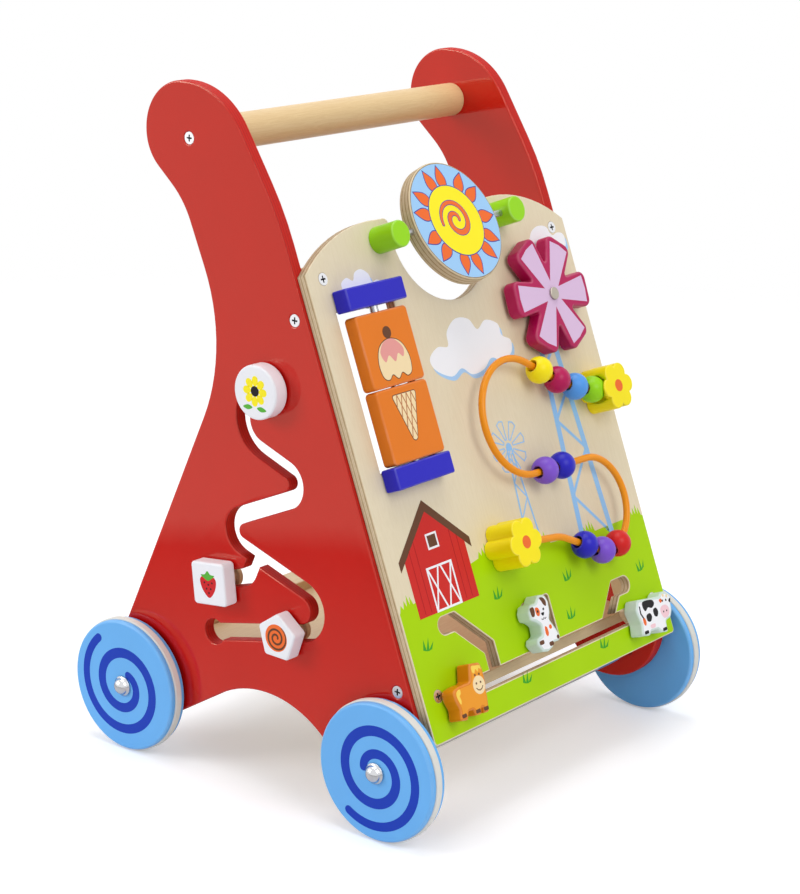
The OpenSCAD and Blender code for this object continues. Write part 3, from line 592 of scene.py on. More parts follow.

# %% [markdown]
# Every piece ends in the same way: its mesh gets its materials and normals, and then it is
# told which body carries it and which CAD nodes it stands for.

# %% Finishing a piece
NORMAL_WEIGHT = 90


def settle(obj):
    """The modifiers' result becomes the mesh."""
    graph = bpy.context.evaluated_depsgraph_get()
    shown = obj.evaluated_get(graph)
    mesh = bpy.data.meshes.new_from_object(shown, preserve_all_data_layers=True, depsgraph=graph)
    old = obj.data
    obj.modifiers.clear()
    obj.data = mesh
    bpy.data.meshes.remove(old)


def weighted(obj):
    """Weighted normals, made part of the mesh."""
    for polygon in obj.data.polygons:
        polygon.use_smooth = True
    modifier = obj.modifiers.new("normals", "WEIGHTED_NORMAL")
    modifier.weight, modifier.keep_sharp = NORMAL_WEIGHT, True
    settle(obj)


def rides(obj, body, nodes=()):
    """The piece moves with a body and stands for its CAD nodes, which are hidden."""
    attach(obj, body)
    if nodes:
        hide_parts(*nodes)
    return obj


def make_piece(name, bm, materials, body, nodes=(), smooth=True):
    """A piece from a bmesh, which is freed."""
    mesh = bpy.data.meshes.new(name)
    bm.to_mesh(mesh)
    bm.free()
    for material in materials:
        mesh.materials.append(material)
    piece = show(bpy.data.objects.new(name, mesh))
    if smooth:
        weighted(piece)
    return rides(piece, body, nodes)


print("finishing tools ready")

# %% Plate tools
WELD, SLIVER, SIDE_UP = 1e-6, 1e-7, 0.5


def add_line(curve, points):
    """A line of straight steps through points, added to a curve."""
    spline = curve.splines.new("POLY")
    spline.points.add(len(points) - 1)
    spline.points.foreach_set("co", [c for p in points for c in (*p, 1)])
    return spline


def add_curve_mesh(bm, curve, out=0.0):
    """A curve's surface added to a bmesh, moved outwards; the curve is removed."""
    holder = show(bpy.data.objects.new("outline", curve))
    shown = holder.evaluated_get(bpy.context.evaluated_depsgraph_get())
    mesh = bpy.data.meshes.new_from_object(shown)
    mesh.transform(shifted(0, 0, out))
    bm.from_mesh(mesh)
    bpy.data.objects.remove(holder)
    bpy.data.curves.remove(curve)
    bpy.data.meshes.remove(mesh)


def add_plate(bm, loops, low, high, edge=0.0, steps=0):
    """A flat plate over loops, between two heights, with round edges, added to a bmesh."""
    curve = bpy.data.curves.new("outline", "CURVE")
    curve.dimensions, curve.fill_mode = "2D", "BOTH"
    for loop in loops:
        add_line(curve, [(x * MM, y * MM, 0) for x, y in loop]).use_cyclic_u = True
    curve.extrude = max((high - low) / 2 - edge, 0) * MM
    curve.bevel_depth, curve.bevel_resolution, curve.offset = edge * MM, steps, -edge * MM
    add_curve_mesh(bm, curve, (low + high) / 2 * MM)


def plate(name, loops, base, low, high, edge, materials, body, nodes=(), steps=2):
    """A flat piece with round edges. A second material goes on its sides."""
    bm = bmesh.new()
    add_plate(bm, loops, low, high, edge, steps)
    bmesh.ops.remove_doubles(bm, verts=bm.verts, dist=WELD)
    bmesh.ops.dissolve_degenerate(bm, dist=SLIVER, edges=bm.edges)
    bmesh.ops.recalc_face_normals(bm, faces=bm.faces)
    rim = bm.verts.layers.float.new("edge")
    for v in bm.verts:
        inside = min(v.co.z - low * MM, high * MM - v.co.z)
        v[rim] = float(SLIVER < inside < (edge - 0.01) * MM)
    for f in bm.faces:
        f.material_index = int(len(materials) > 1 and abs(f.normal.z) < SIDE_UP)
    bm.transform(base)
    return make_piece(name, bm, materials, body, nodes)


print("plate tools ready")


# %% Lathe tools
def lathe(name, profile, bases, material, body, nodes=(), closed=False, steps=96):
    """A profile of (radius, height, edge) spun about the Z axis of each of the frames."""
    bm = bmesh.new()
    rim = bm.verts.layers.float.new("edge")
    for base in bases:
        rings = []
        for r, z, edge in profile:
            ring = []
            for k in range(steps if r > 1e-6 else 1):
                v = bm.verts.new(base @ (Vector((*polar(r, 2 * pi * k / steps), z)) * MM))
                v[rim] = edge
                ring.append(v)
            rings.append(ring)
        following = rings[1:] + rings[:1] if closed else rings[1:]
        for a, b in zip(rings, following):
            for k in range(steps):
                around = (a[k % len(a)], a[(k + 1) % len(a)], b[(k + 1) % len(b)], b[k % len(b)])
                corners = list(dict.fromkeys(around))
                if len(corners) > 2:
                    bm.faces.new(corners)
    bmesh.ops.recalc_face_normals(bm, faces=bm.faces)
    return make_piece(name, bm, [material], body, nodes)


def soft_profile(corners, n=5):
    """A lathe profile from (radius, height, rounding) corners; the rounding is marked as edge."""
    profile = []
    for i, (r, z, fillet) in enumerate(corners):
        if fillet == 0:
            profile.append((r, z, 0.0))
            continue
        after = corners[(i + 1) % len(corners)]
        around = [(*corners[i - 1][:2], 0), (r, z, fillet), (*after[:2], 0)]
        arc = rounded(around, n)[1:-1]
        profile += [(x, y, 0.0 if k in (0, n) else 1.0) for k, (x, y) in enumerate(arc)]
    return profile


def rod(name, base, r, length, edge, material, body, nodes=(), steps=64):
    """A round bar along its frame's Z axis, with eased ends."""
    profile = soft_profile([(0, 0, 0), (r, 0, edge), (r, length, edge), (0, length, 0)])
    return lathe(name, profile, [base], material, body, nodes, steps=steps)


print("lathe tools ready")

# %% [markdown]
# ## Side panels and handle
# Each panel is 10 mm plywood, sprayed red all over, also in the knob slot. A bevel modifier
# on the CAD mesh would stumble over its many short edges. A filled curve along the same
# outline rounds its rim cleanly, and every hole stays where it is.

# %% Panels
PANEL_EDGE = 1.2
for side, face in PANEL_FACES.items():
    node = "side_panel_" + side
    loops = face_loops(node, face, 0.0)
    panel = plate("panel_" + side, loops, face, -PANEL_T, 0.0, PANEL_EDGE,
                  [red_paint, red_edges[side]], "frame", [node])
    print(panel.name, len(loops), "loops", len(panel.data.polygons), "faces")

# %% [markdown]
# The handle is a plain beech dowel between the panels, lacquered, with its grain along it. A
# cylinder has sharp ends, so the dowel is spun from a profile with eased ones.

# %% Handle
ALONG_X, HANDLE_EDGE = turned(pi / 2, "Y"), 0.8


def bar_place(node):
    """The frame at the left end of a CAD bar that runs along X, and the bar's size."""
    low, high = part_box(node)
    middle = (low + high) / 2
    return shifted(low.x, middle.y, middle.z) @ ALONG_X, (high - low) / MM


start, size = bar_place("handle_bar")
rod("handle", start, size.z / 2, size.x, HANDLE_EDGE, beech, "frame",
    ["handle_bar"], steps=96)
print("handle", round(size.x, 1), "mm long")

# %% [markdown]
# ## Activity board
# The board is birch plywood. Its face shows pale grain, and its sides, the maze's walls and
# the window show the layers, so the plate gets a second material on its sides.

# %% Board
BOARD_EDGE = 0.6
board = plate("board", board_loops, BOARD, -BOARD_T, 0.0, BOARD_EDGE, [birch, ply_side],
              "frame", ["activity_board"])
print("board", len(board.data.polygons), "faces")

# %% [markdown]
# Behind the board, four blocks take the screws. A thin shelf joins the panels under the
# maze, and a square rail stiffens its rear edge. They are bare pine. Each is a rounded
# rectangle with a thickness, so that all its edges are eased, as sanded wood is.

# %% Corner blocks, shelf and rail
BLOCK_X, BLOCK_W, BLOCK_L, BLOCK_D = 132.0, 18.0, 38.0, 20.0
BLOCK_UP, BLOCK_EDGE, BLOCK_CORNER = (21.5, 293.0), 0.6, 0.8
SHELF_EDGE, RAIL_EDGE = 0.6, 1.0
block_loop = plate_loop(BLOCK_W, BLOCK_L, BLOCK_CORNER)
block_loops = [moved(block_loop, x, y + BLOCK_L / 2) for x in (-BLOCK_X, BLOCK_X) for y in BLOCK_UP]
plate("corner_braces", block_loops, BOARD, -BOARD_T - BLOCK_D, -BOARD_T, BLOCK_EDGE, [pine],
      "frame", ["corner_blocks"])
FACING_FRONT = turned(pi / 2, "X")
for name, node, edge in (("shelf", "shelf_board", SHELF_EDGE), ("rail", "rear_rail", RAIL_EDGE)):
    low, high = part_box(node)
    size, middle = (high - low) / MM, (high + low) / 2 / MM
    loop = moved(plate_loop(size.x, size.z, edge), 0, middle.z)
    plate(name, [loop], FACING_FRONT, -high.y / MM, -low.y / MM, edge, [pine], "frame",
          [node])
    print(name, [round(v, 1) for v in size])

# %% [markdown]
# ## Wheels, axles and caps
# A wheel is two blue discs with a pale tyre band between them. The profile is drawn once,
# with soft rims, and spun. A domed steel cap holds each wheel on its axle.

# %% Wheels
WHEEL_R, WHEEL_W, WHEEL_IN, AXLE_Y, AXLE_R = 50.0, 14.2, 153.0, 119.0, 3.0
TYRE_LOW, TYRE_HIGH, TYRE_SEAT, TYRE_R, RIM_R = 4.1, 10.1, 44.5, 49.99, 49.0
HUB_R, RIM_EDGE, SEAT_EDGE, TYRE_EDGE = AXLE_R + 0.08, 2.0, 0.5, 1.0
wheel_profile = soft_profile([
    (HUB_R, 0, 0), (RIM_R, 0, RIM_EDGE), (RIM_R, TYRE_LOW, SEAT_EDGE), (TYRE_SEAT, TYRE_LOW, 0),
    (TYRE_SEAT, TYRE_HIGH, 0), (RIM_R, TYRE_HIGH, SEAT_EDGE), (RIM_R, WHEEL_W, RIM_EDGE),
    (HUB_R, WHEEL_W, 0),
])
tyre_profile = soft_profile([
    (TYRE_SEAT, TYRE_LOW, 0), (TYRE_R, TYRE_LOW, TYRE_EDGE), (TYRE_R, TYRE_HIGH, TYRE_EDGE),
    (TYRE_SEAT, TYRE_HIGH, 0),
])
wheel_frames = {}
for end, y in (("front", -AXLE_Y), ("rear", AXLE_Y)):
    wheel_frames[end + "_left"] = place(LEFT, -y, WHEEL_R, WHEEL_IN)
    wheel_frames[end + "_right"] = place(RIGHT, y, WHEEL_R, WHEEL_IN)
for tag, base in wheel_frames.items():
    body = tag + "_wheel"
    lathe("disc_" + tag, wheel_profile, [base], wheel_paint, body, ["wheel_" + tag],
          closed=True, steps=128)
    lathe("band_" + tag, tyre_profile, [base], tyre_rubber, body, ["tyre_" + tag],
          closed=True, steps=128)
print("wheels", sorted(wheel_frames))

# %% Axles, washers and caps
CAP_GAP, CAP_R, CAP_H, CAP_FOOT, DOME_R, DOME_STEPS = 0.4, 7.5, 6.0, 1.2, 6.1, 10
WASHER_R, WASHER_T, WASHER_LOW, WASHER_EDGE, AXLE_EDGE = 7.0, 1.6, -2.0, 0.3, 0.4
dome = [(0, 0, 0), (CAP_R - 0.2, 0, 0), (CAP_R, 0.25, 1), (CAP_R - 0.1, 0.9, 1)]
dome.append((CAP_R - 1.0, CAP_FOOT, 0))
for t in even(DOME_STEPS)[1:-1]:
    dome.append((DOME_R * cos(pi / 2 * t), CAP_FOOT + (CAP_H - CAP_FOOT) * sin(pi / 2 * t), 0))
dome.append((0, CAP_H, 0))
cap_frames = [place(base, 0, 0, WHEEL_W + CAP_GAP) for base in wheel_frames.values()]
lathe("wheel_caps", dome, cap_frames, bright_steel, "frame", ["axle_caps"], steps=48)
washer = soft_profile([
    (AXLE_R, 0, 0), (WASHER_R, 0, WASHER_EDGE), (WASHER_R, WASHER_T, WASHER_EDGE),
    (AXLE_R, WASHER_T, 0),
])
washer_frames = [place(base, 0, 0, WASHER_LOW) for base in wheel_frames.values()]
lathe("washers", washer, washer_frames, steel, "frame", ["axle_washers"], closed=True,
      steps=48)
for end in ("front", "rear"):
    start, size = bar_place(end + "_axle")
    rod("axle_" + end, start, AXLE_R, size.x, AXLE_EDGE, bright_steel, "frame",
        [end + "_axle"], steps=32)
print("caps", len(cap_frames), "washers", len(washer_frames))

# %% [markdown]
# ## Screws
# The screws are cross-head steel screws. Their shape in the frame is right already, so a
# copy gets a small bevel, which catches the light on the head. The faces in the cross, known
# by their depth below the head's top, get a dark steel as painted shade in the recess.

# %% Screws
SCREW_EASE, HEAD_SINK, CROSS_DEEP, HEAD_MIDDLE = 0.3, 0.6, 0.5, 1.05
FLAT_ANGLE, SHARP_ANGLE = radians(2), radians(40)


def eased_copy(name, node):
    """A copy of a CAD node of screws with its sharp edges eased."""
    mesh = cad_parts[node].data.copy()
    mesh.name = name
    mesh.materials.clear()
    for material in (screw_steel, painted_shade_steel):
        mesh.materials.append(material)
    bm = bmesh.new()
    bm.from_mesh(mesh)
    bmesh.ops.remove_doubles(bm, verts=bm.verts, dist=CAD_WELD)
    bmesh.ops.dissolve_limit(bm, angle_limit=FLAT_ANGLE, verts=bm.verts, edges=bm.edges)
    bm.to_mesh(mesh)
    bm.free()
    if mesh.has_custom_normals:
        mesh.normals_split_custom_set([(0, 0, 0)] * len(mesh.loops))
    piece = show(bpy.data.objects.new(name, mesh))
    bevel = piece.modifiers.new("bevel", "BEVEL")
    bevel.width, bevel.segments = SCREW_EASE * MM, 2
    bevel.limit_method, bevel.angle_limit = "ANGLE", SHARP_ANGLE
    settle(piece)
    weighted(piece)
    return rides(piece, "frame", [node])


def below_side(p):
    """How deep a point lies below a side screw's head."""
    return PANEL_X / MM - HEAD_SINK - abs(p.x) / MM


def below_board(p):
    """How deep a point lies below a board screw's head."""
    return -(BOARD.inverted() @ p).z / MM


for node, below in (("side_screws", below_side), ("board_screws", below_board)):
    piece = eased_copy(node + "_eased", node)
    for polygon in piece.data.polygons:
        deep = below(polygon.center)
        out = deep - below(polygon.center + polygon.normal * MM)
        # The cross's floor and walls take the dark steel, painted shade in the recess.
        floor_of_cross = deep > CROSS_DEEP and out > 0.9
        wall_of_cross = deep < HEAD_MIDDLE and abs(out) < 0.3
        polygon.material_index = int(floor_of_cross or wall_of_cross)
    print(piece.name, len(piece.data.polygons), "faces")

# %% [markdown]
# ## The turning disc
# A round wooden disc turns on a steel rod between two lime pegs. Its rim is bare plywood, and
# both faces are printed. Disc and pegs are turned pieces, so they are spun like the wheels.

# %% Disc, rod and pegs
DISC_UP, DISC_OUT, DISC_R, DISC_T, DISC_TURN = 337.5, 12.8, 45.0, 10.6, radians(-10.8)
DISC_LAYERS, DISC_EDGE, DISC_ROD_R, ROD_EDGE = 7, 1.4, 2.5, 0.3
PEG_X, PEG_R, PEG_L, PEG_FOOT_R = 67.0, 9.5, 22.0, 5
HALF_DISC = DISC_T / 2
disc_frame = place(BOARD, 0, DISC_UP, DISC_OUT) @ turned(DISC_TURN, "X")
disc_profile = soft_profile([
    (0, -HALF_DISC, 0), (DISC_R, -HALF_DISC, DISC_EDGE), (DISC_R, HALF_DISC, DISC_EDGE),
    (0, HALF_DISC, 0),
])
disc_edge = layered("disc_edge", place(disc_frame, 0, 0, HALF_DISC), DISC_T, DISC_LAYERS, *BARE)
lathe("sun_disc", disc_profile, [disc_frame], disc_edge, "disc", ["turning_disc"],
      steps=128)
peg_profile = soft_profile([
    (0, -BOARD_T, 0), (PEG_FOOT_R, -BOARD_T, 0.5), (PEG_FOOT_R, 0, 0), (PEG_R, 0, 0.3),
    (PEG_R, PEG_L, 1.3), (0, PEG_L, 0),
])
for side, x in (("left", -PEG_X), ("right", PEG_X)):
    lathe("peg_" + side, peg_profile, [place(BOARD, x, DISC_UP)], lime_paint, "frame",
          ["disc_peg_" + side], steps=64)
rod("sun_rod", place(BOARD, -PEG_X, DISC_UP, DISC_OUT) @ ALONG_X, DISC_ROD_R, 2 * PEG_X,
    ROD_EDGE, steel, "frame", ["disc_rod"], steps=32)
print("disc", DISC_R, "mm radius")

# %% [markdown]
# ## The turning blocks
# Two orange plates turn on a rod in the board's window, between two navy holders. They are
# sprayed thickly and sanded round, so their edges get a wider rounding in more steps.

# %% Blocks, holders and their rod
FLIP_X, FLIP_W, FLIP_L, FLIP_T, FLIP_OUT = -98.0, 54.5, 51.4, 11.0, 6.7
FLIP_UP = {"lower": 186.8, "upper": 238.8}
HOLDER_W, HOLDER_L, HOLDER_H = 60.5, 15.6, 13.2
HOLDER_UP = {"bottom": 170.6, "top": 294.4}
FLIP_ROD_R, FLIP_ROD_IN = 3.0, 10
FLIP_EDGE, FLIP_CORNER, HOLDER_EDGE, HOLDER_CORNER = 1.5, 3.0, 1.3, 1.5
flip_loop = plate_loop(FLIP_W, FLIP_L, FLIP_CORNER)
holder_loop = plate_loop(HOLDER_W, HOLDER_L, HOLDER_CORNER)
flip_frames = {}
for tag, up in FLIP_UP.items():
    flip_frames[tag] = place(BOARD, FLIP_X, up + FLIP_L / 2, FLIP_OUT)
    plate("flip_" + tag, [flip_loop], flip_frames[tag], -FLIP_T / 2, FLIP_T / 2, FLIP_EDGE,
          [orange_paint], tag + "_block", ["turning_block_" + tag], steps=3)
for tag, up in HOLDER_UP.items():
    loop = moved(holder_loop, FLIP_X, up + HOLDER_L / 2)
    plate("holder_" + tag, [loop], BOARD, 0.0, HOLDER_H, HOLDER_EDGE, [navy_paint], "frame",
          ["block_holder_" + tag], steps=3)
rod_low = HOLDER_UP["bottom"] + HOLDER_L - FLIP_ROD_IN
rod_high = HOLDER_UP["top"] + FLIP_ROD_IN
UP_SLOPE = turned(-pi / 2, "X")
rod("flip_rod", place(BOARD, FLIP_X, rod_low, FLIP_OUT) @ UP_SLOPE, FLIP_ROD_R,
    rod_high - rod_low, ROD_EDGE, steel, "frame", ["block_rod"], steps=32)
print("turning blocks", sorted(flip_frames))

# %% [markdown]
# ## Windmill
# The windmill has six broad blades with round corners. A grey rivet holds it. The rivet's
# head covers the hole in the middle, so only the outer loop of the blades is needed.

# %% Windmill
MILL_X, MILL_UP, MILL_LOW, MILL_TOP, MILL_EDGE = 93.0, 271.4, 2.6, 13.8, 1.8
PIN_R, COLLAR_R, COLLAR_T, RIVET_R, RIVET_LOW, RIVET_TOP = 3, 6, 2.2, 4.7, 14.2, 15.8
mill_loops = face_loops("windmill", BOARD, MILL_TOP)
plate("mill", [max(mill_loops, key=len)], BOARD, MILL_LOW, MILL_TOP, MILL_EDGE, [magenta_paint],
      "mill", ["windmill"], steps=3)
pin = soft_profile([
    (0, -BOARD_T, 0), (PIN_R, -BOARD_T, 0), (PIN_R, 0, 0), (COLLAR_R, 0, 0),
    (COLLAR_R, COLLAR_T, 0.3), (PIN_R, COLLAR_T, 0), (PIN_R, RIVET_LOW, 0),
    (RIVET_R, RIVET_LOW, 0.3), (RIVET_R, RIVET_TOP, 0.6), (0, RIVET_TOP, 0),
])
lathe("mill_rivet", pin, [place(BOARD, MILL_X, MILL_UP)], rivet_steel, "frame",
      ["windmill_pin"], steps=48)
print("windmill loops", [len(loop) for loop in mill_loops])

# %% [markdown]
# ## Flower blocks, wire and beads
# Two thick yellow flowers hold the ends of a bent, coated wire, and round beads slide on it.
# The wire's line is made of straights and bends, so it is built from the same bends: each is
# a centre, a radius and a turn, and a straight touches two neighbouring bends.

# %% The wire's line
WIRE_OUT, WIRE_R, WIRE_STEP = 12.6, 2.6, radians(4)
WIRE_RUN = [
    (123.5, 191.9, 0, 0), (143, 342, 150, -1), (18.5, 193, 42, 1), (80, 114.5, 34.5, -1),
    (15, 63.4, 40, 1), (-20, 108.2, 0, 0),
]


def heading(a, b):
    """The direction of the straight between two bends."""
    gap = Vector((b[0] - a[0], b[1] - a[1]))
    return atan2(gap.y, gap.x) - asin((b[3] * b[2] - a[3] * a[2]) / gap.length)


def on_bend(bend, h):
    """The point of a bend where the wire has a heading."""
    x, y, r, turn = bend
    return (x + r * turn * sin(h), y - r * turn * cos(h))


def bend_sweep(i):
    """The heading into bend i and the turn that it makes."""
    before, after = heading(*WIRE_RUN[i - 1:i + 1]), heading(*WIRE_RUN[i:i + 2])
    turn = WIRE_RUN[i][3]
    return before, turn * (((after - before) * turn) % (2 * pi))


wire_line = [WIRE_RUN[0][:2]]
for i in range(1, len(WIRE_RUN) - 1):
    start, sweep = bend_sweep(i)
    steps = max(4, ceil(abs(sweep) / WIRE_STEP))
    wire_line += [on_bend(WIRE_RUN[i], start + sweep * t) for t in even(steps)]
wire_line.append(WIRE_RUN[-1][:2])
print("wire points", len(wire_line))

# %% Wire
tube = bpy.data.curves.new("wire", "CURVE")
tube.dimensions, tube.use_fill_caps = "3D", True
tube.bevel_depth, tube.bevel_resolution = WIRE_R * MM, 5
add_line(tube, [BOARD @ (Vector((x, y, WIRE_OUT)) * MM) for x, y in wire_line])
bm = bmesh.new()
add_curve_mesh(bm, tube)
wire = make_piece("wire", bm, [wire_coat], "frame", ["bead_wire"])
print("wire", len(wire.data.polygons), "faces")

# %% [markdown]
# A bead is a ball with a bore along the wire. It is placed by its distance along the wire
# from the end of a bend, and turned to the wire's heading there. Beads in a row touch.

# %% Beads
BEAD_R, BORE_R, BORE_EASE, BEAD_PITCH, BEAD_STEPS = 10.0, 4.3, 0.3, 20.6, 28
BEAD_ROWS = [
    (1, 13.0, -BEAD_PITCH, ("yellow", "magenta", "sky", "lime")),
    (2, 12.4, BEAD_PITCH, ("violet_middle", "navy_middle")),
    (3, 14.7, -BEAD_PITCH, ("navy_low", "violet_low", "red")),
]
BEAD_PAINTS = {
    "yellow": yellow_paint, "magenta": magenta_paint, "sky": sky_paint, "lime": lime_paint,
    "violet": violet_paint, "navy": navy_paint, "red": bead_red_paint,
}


def on_wire(i, d):
    """The place and heading at distance d past the end of bend i; a negative d lies before it."""
    start, sweep = bend_sweep(i)
    bend, out = WIRE_RUN[i], start + sweep
    arc = abs(sweep) * bend[2]
    h = out if d > 0 else out + bend[3] * d / bend[2] if d > -arc else start
    extra = d if d > 0 else 0 if d > -arc else d + arc
    x, y = on_bend(bend, h)
    return x + extra * cos(h), y + extra * sin(h), h


mouth = asin((BORE_R + 0.5) / BEAD_R)
bore_end = BEAD_R * cos(mouth) - BORE_EASE
bead_profile = [(BORE_R, -bore_end, 0)]
for t in even(BEAD_STEPS):
    z, r = polar(BEAD_R, mouth + (pi - 2 * mouth) * t)
    bead_profile.append((r, -z, float(t in (0, 1))))
bead_profile.append((BORE_R, bore_end, 0))
bead_frames = {}
for bend, first, pitch, tags in BEAD_ROWS:
    for k, tag in enumerate(tags):
        colour = tag.split("_")[0]
        x, y, h = on_wire(bend, first + pitch * k)
        bead_frames[tag] = place(BOARD, x, y, WIRE_OUT, degrees(h)) @ ALONG_X
        lathe("ball_" + tag, bead_profile, [bead_frames[tag]], BEAD_PAINTS[colour], tag + "_bead",
              ["bead_" + tag], closed=True, steps=64)
print("beads", len(bead_frames))

# %% [markdown]
# The upper flower has a round pocket in its side, where the last bead nests. A Boolean cuts
# it out of the plate, and the normals are then settled again.

# %% Flowers
FLOWER_H, FLOWER_EDGE, NEST_R, NEST_L, NEST_EDGE = 24.6, 1.0, 10.4, 56.0, 0.3
FLOWERS = {"upper": (127.5, 193.0), "lower": (-27.5, 109.2)}
for tag in FLOWERS:
    node = "flower_block_" + tag
    loops = face_loops(node, BOARD, FLOWER_H)
    flower = plate("flower_" + tag, loops, BOARD, 0.0, FLOWER_H, FLOWER_EDGE, [yellow_paint],
                   "frame", [node])
    if tag == "upper":
        start = place(bead_frames["lime"], 0, 0, -NEST_R)
        nest = rod("nest", start, NEST_R, NEST_L, NEST_EDGE, yellow_paint, "frame")
        cut = flower.modifiers.new("nest", "BOOLEAN")
        cut.operation, cut.object, cut.solver = "DIFFERENCE", nest, "EXACT"
        settle(flower)
        bpy.data.objects.remove(nest)
        weighted(flower)
    print(flower.name, len(flower.data.polygons), "faces")

# %% [markdown]
# ## Figures and knobs
# Each animal and each knob is a thick painted shape on a stem. The stem runs through a slot
# to a flange at the back, so the toy slides but can't come off. The shapes are plates over
# the frame's outlines, and the stems are turned.

# %% Figures and their stems
FIGURE_GAP, FIGURE_T, FIGURE_EDGE, FLANGE_EDGE = 1.2, 12.0, 1.5, 0.6
FIGURE_TOP = FIGURE_GAP + FIGURE_T
STEM_R, FLANGE_R, FLANGE_T, FLANGE_GAP = 5.5, 8.2, 4.0, 0.4
STEM_AT = {"horse": (17.0, 17.0), "dog": (10.4, 27.4), "cow": (22.0, 17.0)}
FIGURES = {
    "horse": (-112.0, 25.8, tan_paint, "horse_tan"),
    "dog": (-18.1, 59.4, mint_paint, "figure_white"),
    "cow": (112.0, 25.8, mint_paint, "figure_white"),
}


def stem_profile(thickness):
    """A stem through a plate, with its flange behind the plate."""
    flange_top = -thickness - FLANGE_GAP
    flange_low = flange_top - FLANGE_T
    return soft_profile([
        (0, flange_low, 0), (FLANGE_R, flange_low, FLANGE_EDGE),
        (FLANGE_R, flange_top, FLANGE_EDGE), (STEM_R, flange_top, 0), (STEM_R, FIGURE_GAP, 0),
        (0, FIGURE_GAP, 0),
    ])


figure_loops = {}
for tag, (x, y, material, slot) in FIGURES.items():
    figure_loops[tag] = face_loops(tag + "_figure", BOARD, FIGURE_TOP)
    plate(tag, figure_loops[tag], BOARD, FIGURE_GAP, FIGURE_TOP, FIGURE_EDGE, [material], tag,
          [tag + "_figure"], steps=3)
    lathe(tag + "_peg", stem_profile(BOARD_T), [place(BOARD, x, y)], pine, tag,
          [tag + "_stem"], steps=48)
print("figures", sorted(figure_loops))

# %% Knobs and their stems
KNOBS = {"round": (6.5, 293.2, 0.0), "square": (-36.5, 147.0, 7.0), "five": (27.102, 122.692, 0.0)}
left_face, KNOB_EDGE = PANEL_FACES["left"], 1.6
for tag, (across, z, turn) in KNOBS.items():
    body, node = tag + "_slider", tag + "_knob"
    loops = face_loops(node, left_face, FIGURE_TOP)
    plate(tag + "_button", loops, left_face, FIGURE_GAP, FIGURE_TOP, KNOB_EDGE, [white_paint],
          body, [node], steps=3)
    lathe(tag + "_button_peg", stem_profile(PANEL_T), [place(left_face, across, z)], pine, body,
          [node + "_stem"], steps=48)
print("knobs", sorted(KNOBS))

# %% [markdown]
# ## Printed pictures
# The pictures are screen printed: flat ink with a hard edge, a few hundredths of a millimetre
# thick. An image texture could show them, but it would blur. Here each colour is a very thin
# closed plate on its surface, so that the print stays sharp close up. A later layer of ink
# lies a little higher than the one under it.

# %% Ink tools
INK_SINK, INK_STEP, INK_WELD = 0.03, 0.05, 1e-7


def ink_on(base, out, body):
    """A way to print on one flat face, at height out in a frame."""
    def put(name, shapes, material, layer=0):
        """Shapes of one colour; each is a loop, or a list of loops where it has holes."""
        bm = bmesh.new()
        for shape in shapes:
            loops = shape if isinstance(shape[0], list) else [shape]
            add_plate(bm, loops, out - INK_SINK, out + INK_STEP * (layer + 1))
        bmesh.ops.remove_doubles(bm, verts=bm.verts, dist=INK_WELD)
        bmesh.ops.recalc_face_normals(bm, faces=bm.faces)
        bm.transform(base)
        return make_piece(name, bm, [material], body, smooth=False)
    return put


def printed(name, rgb):
    """Screen ink: flat colour, a little duller than paint."""
    return painted(name, rgb, gloss=0.42, rub=0.0, mottle=0.04, coat=0.0, shine=0.12)


white_ink = printed("white_ink", (246, 246, 250))
cream_ink = printed("cream_ink", (246, 222, 176))
pink_ink = printed("pink_ink", (232, 158, 152))
brown_ink = printed("brown_ink", (104, 68, 48))
waffle_ink = printed("waffle_ink", (190, 126, 82))
black_ink = printed("black_ink", (34, 32, 36))
orange_ink = printed("orange_ink", (240, 112, 52))
sun_ink = printed("sun_ink", (252, 236, 44))
sky_ink = printed("sky_ink", (160, 204, 244))
print("inks ready")

# %% [markdown]
# The wheels carry a spiral, one line with round ends that is a little broader in its middle.
# The same spiral is on every wheel, at the turn where the wheel happens to stand.

# %% Wheel spirals
SPIRAL_STEPS, SPIRAL_SWEEP, SPIRAL_OUTER, SPIRAL_INNER = 120, radians(652.0), 40.0, 10.4
SPIRAL_W, SPIRAL_SWELL = 6.2, 1.4
SPIRAL_TURNS = {"rear_left": 128.0, "front_left": 236.0, "front_right": 20.0, "rear_right": 305.0}
SPIRAL_IN = SPIRAL_INNER - SPIRAL_OUTER
spiral = [polar(SPIRAL_OUTER + SPIRAL_IN * t, SPIRAL_SWEEP * t) for t in even(SPIRAL_STEPS)]
spiral_widths = [SPIRAL_W + SPIRAL_SWELL * sin(pi * t) for t in even(SPIRAL_STEPS)]
spiral_loop = swelling(spiral, spiral_widths)
for tag, turn in SPIRAL_TURNS.items():
    on_wheel = ink_on(wheel_frames[tag], WHEEL_W, tag + "_wheel")
    on_wheel("spiral_" + tag, [moved(spiral_loop, turn=turn)], wheel_ink)
print("spirals", len(spiral_loop), "points each")

# %% [markdown]
# The disc shows a plain sun: a yellow round with a spiral in it and leaf-shaped rays, all
# drawn with a thin blue line, on a pale blue sky. Its back shows a moon and a few stars.

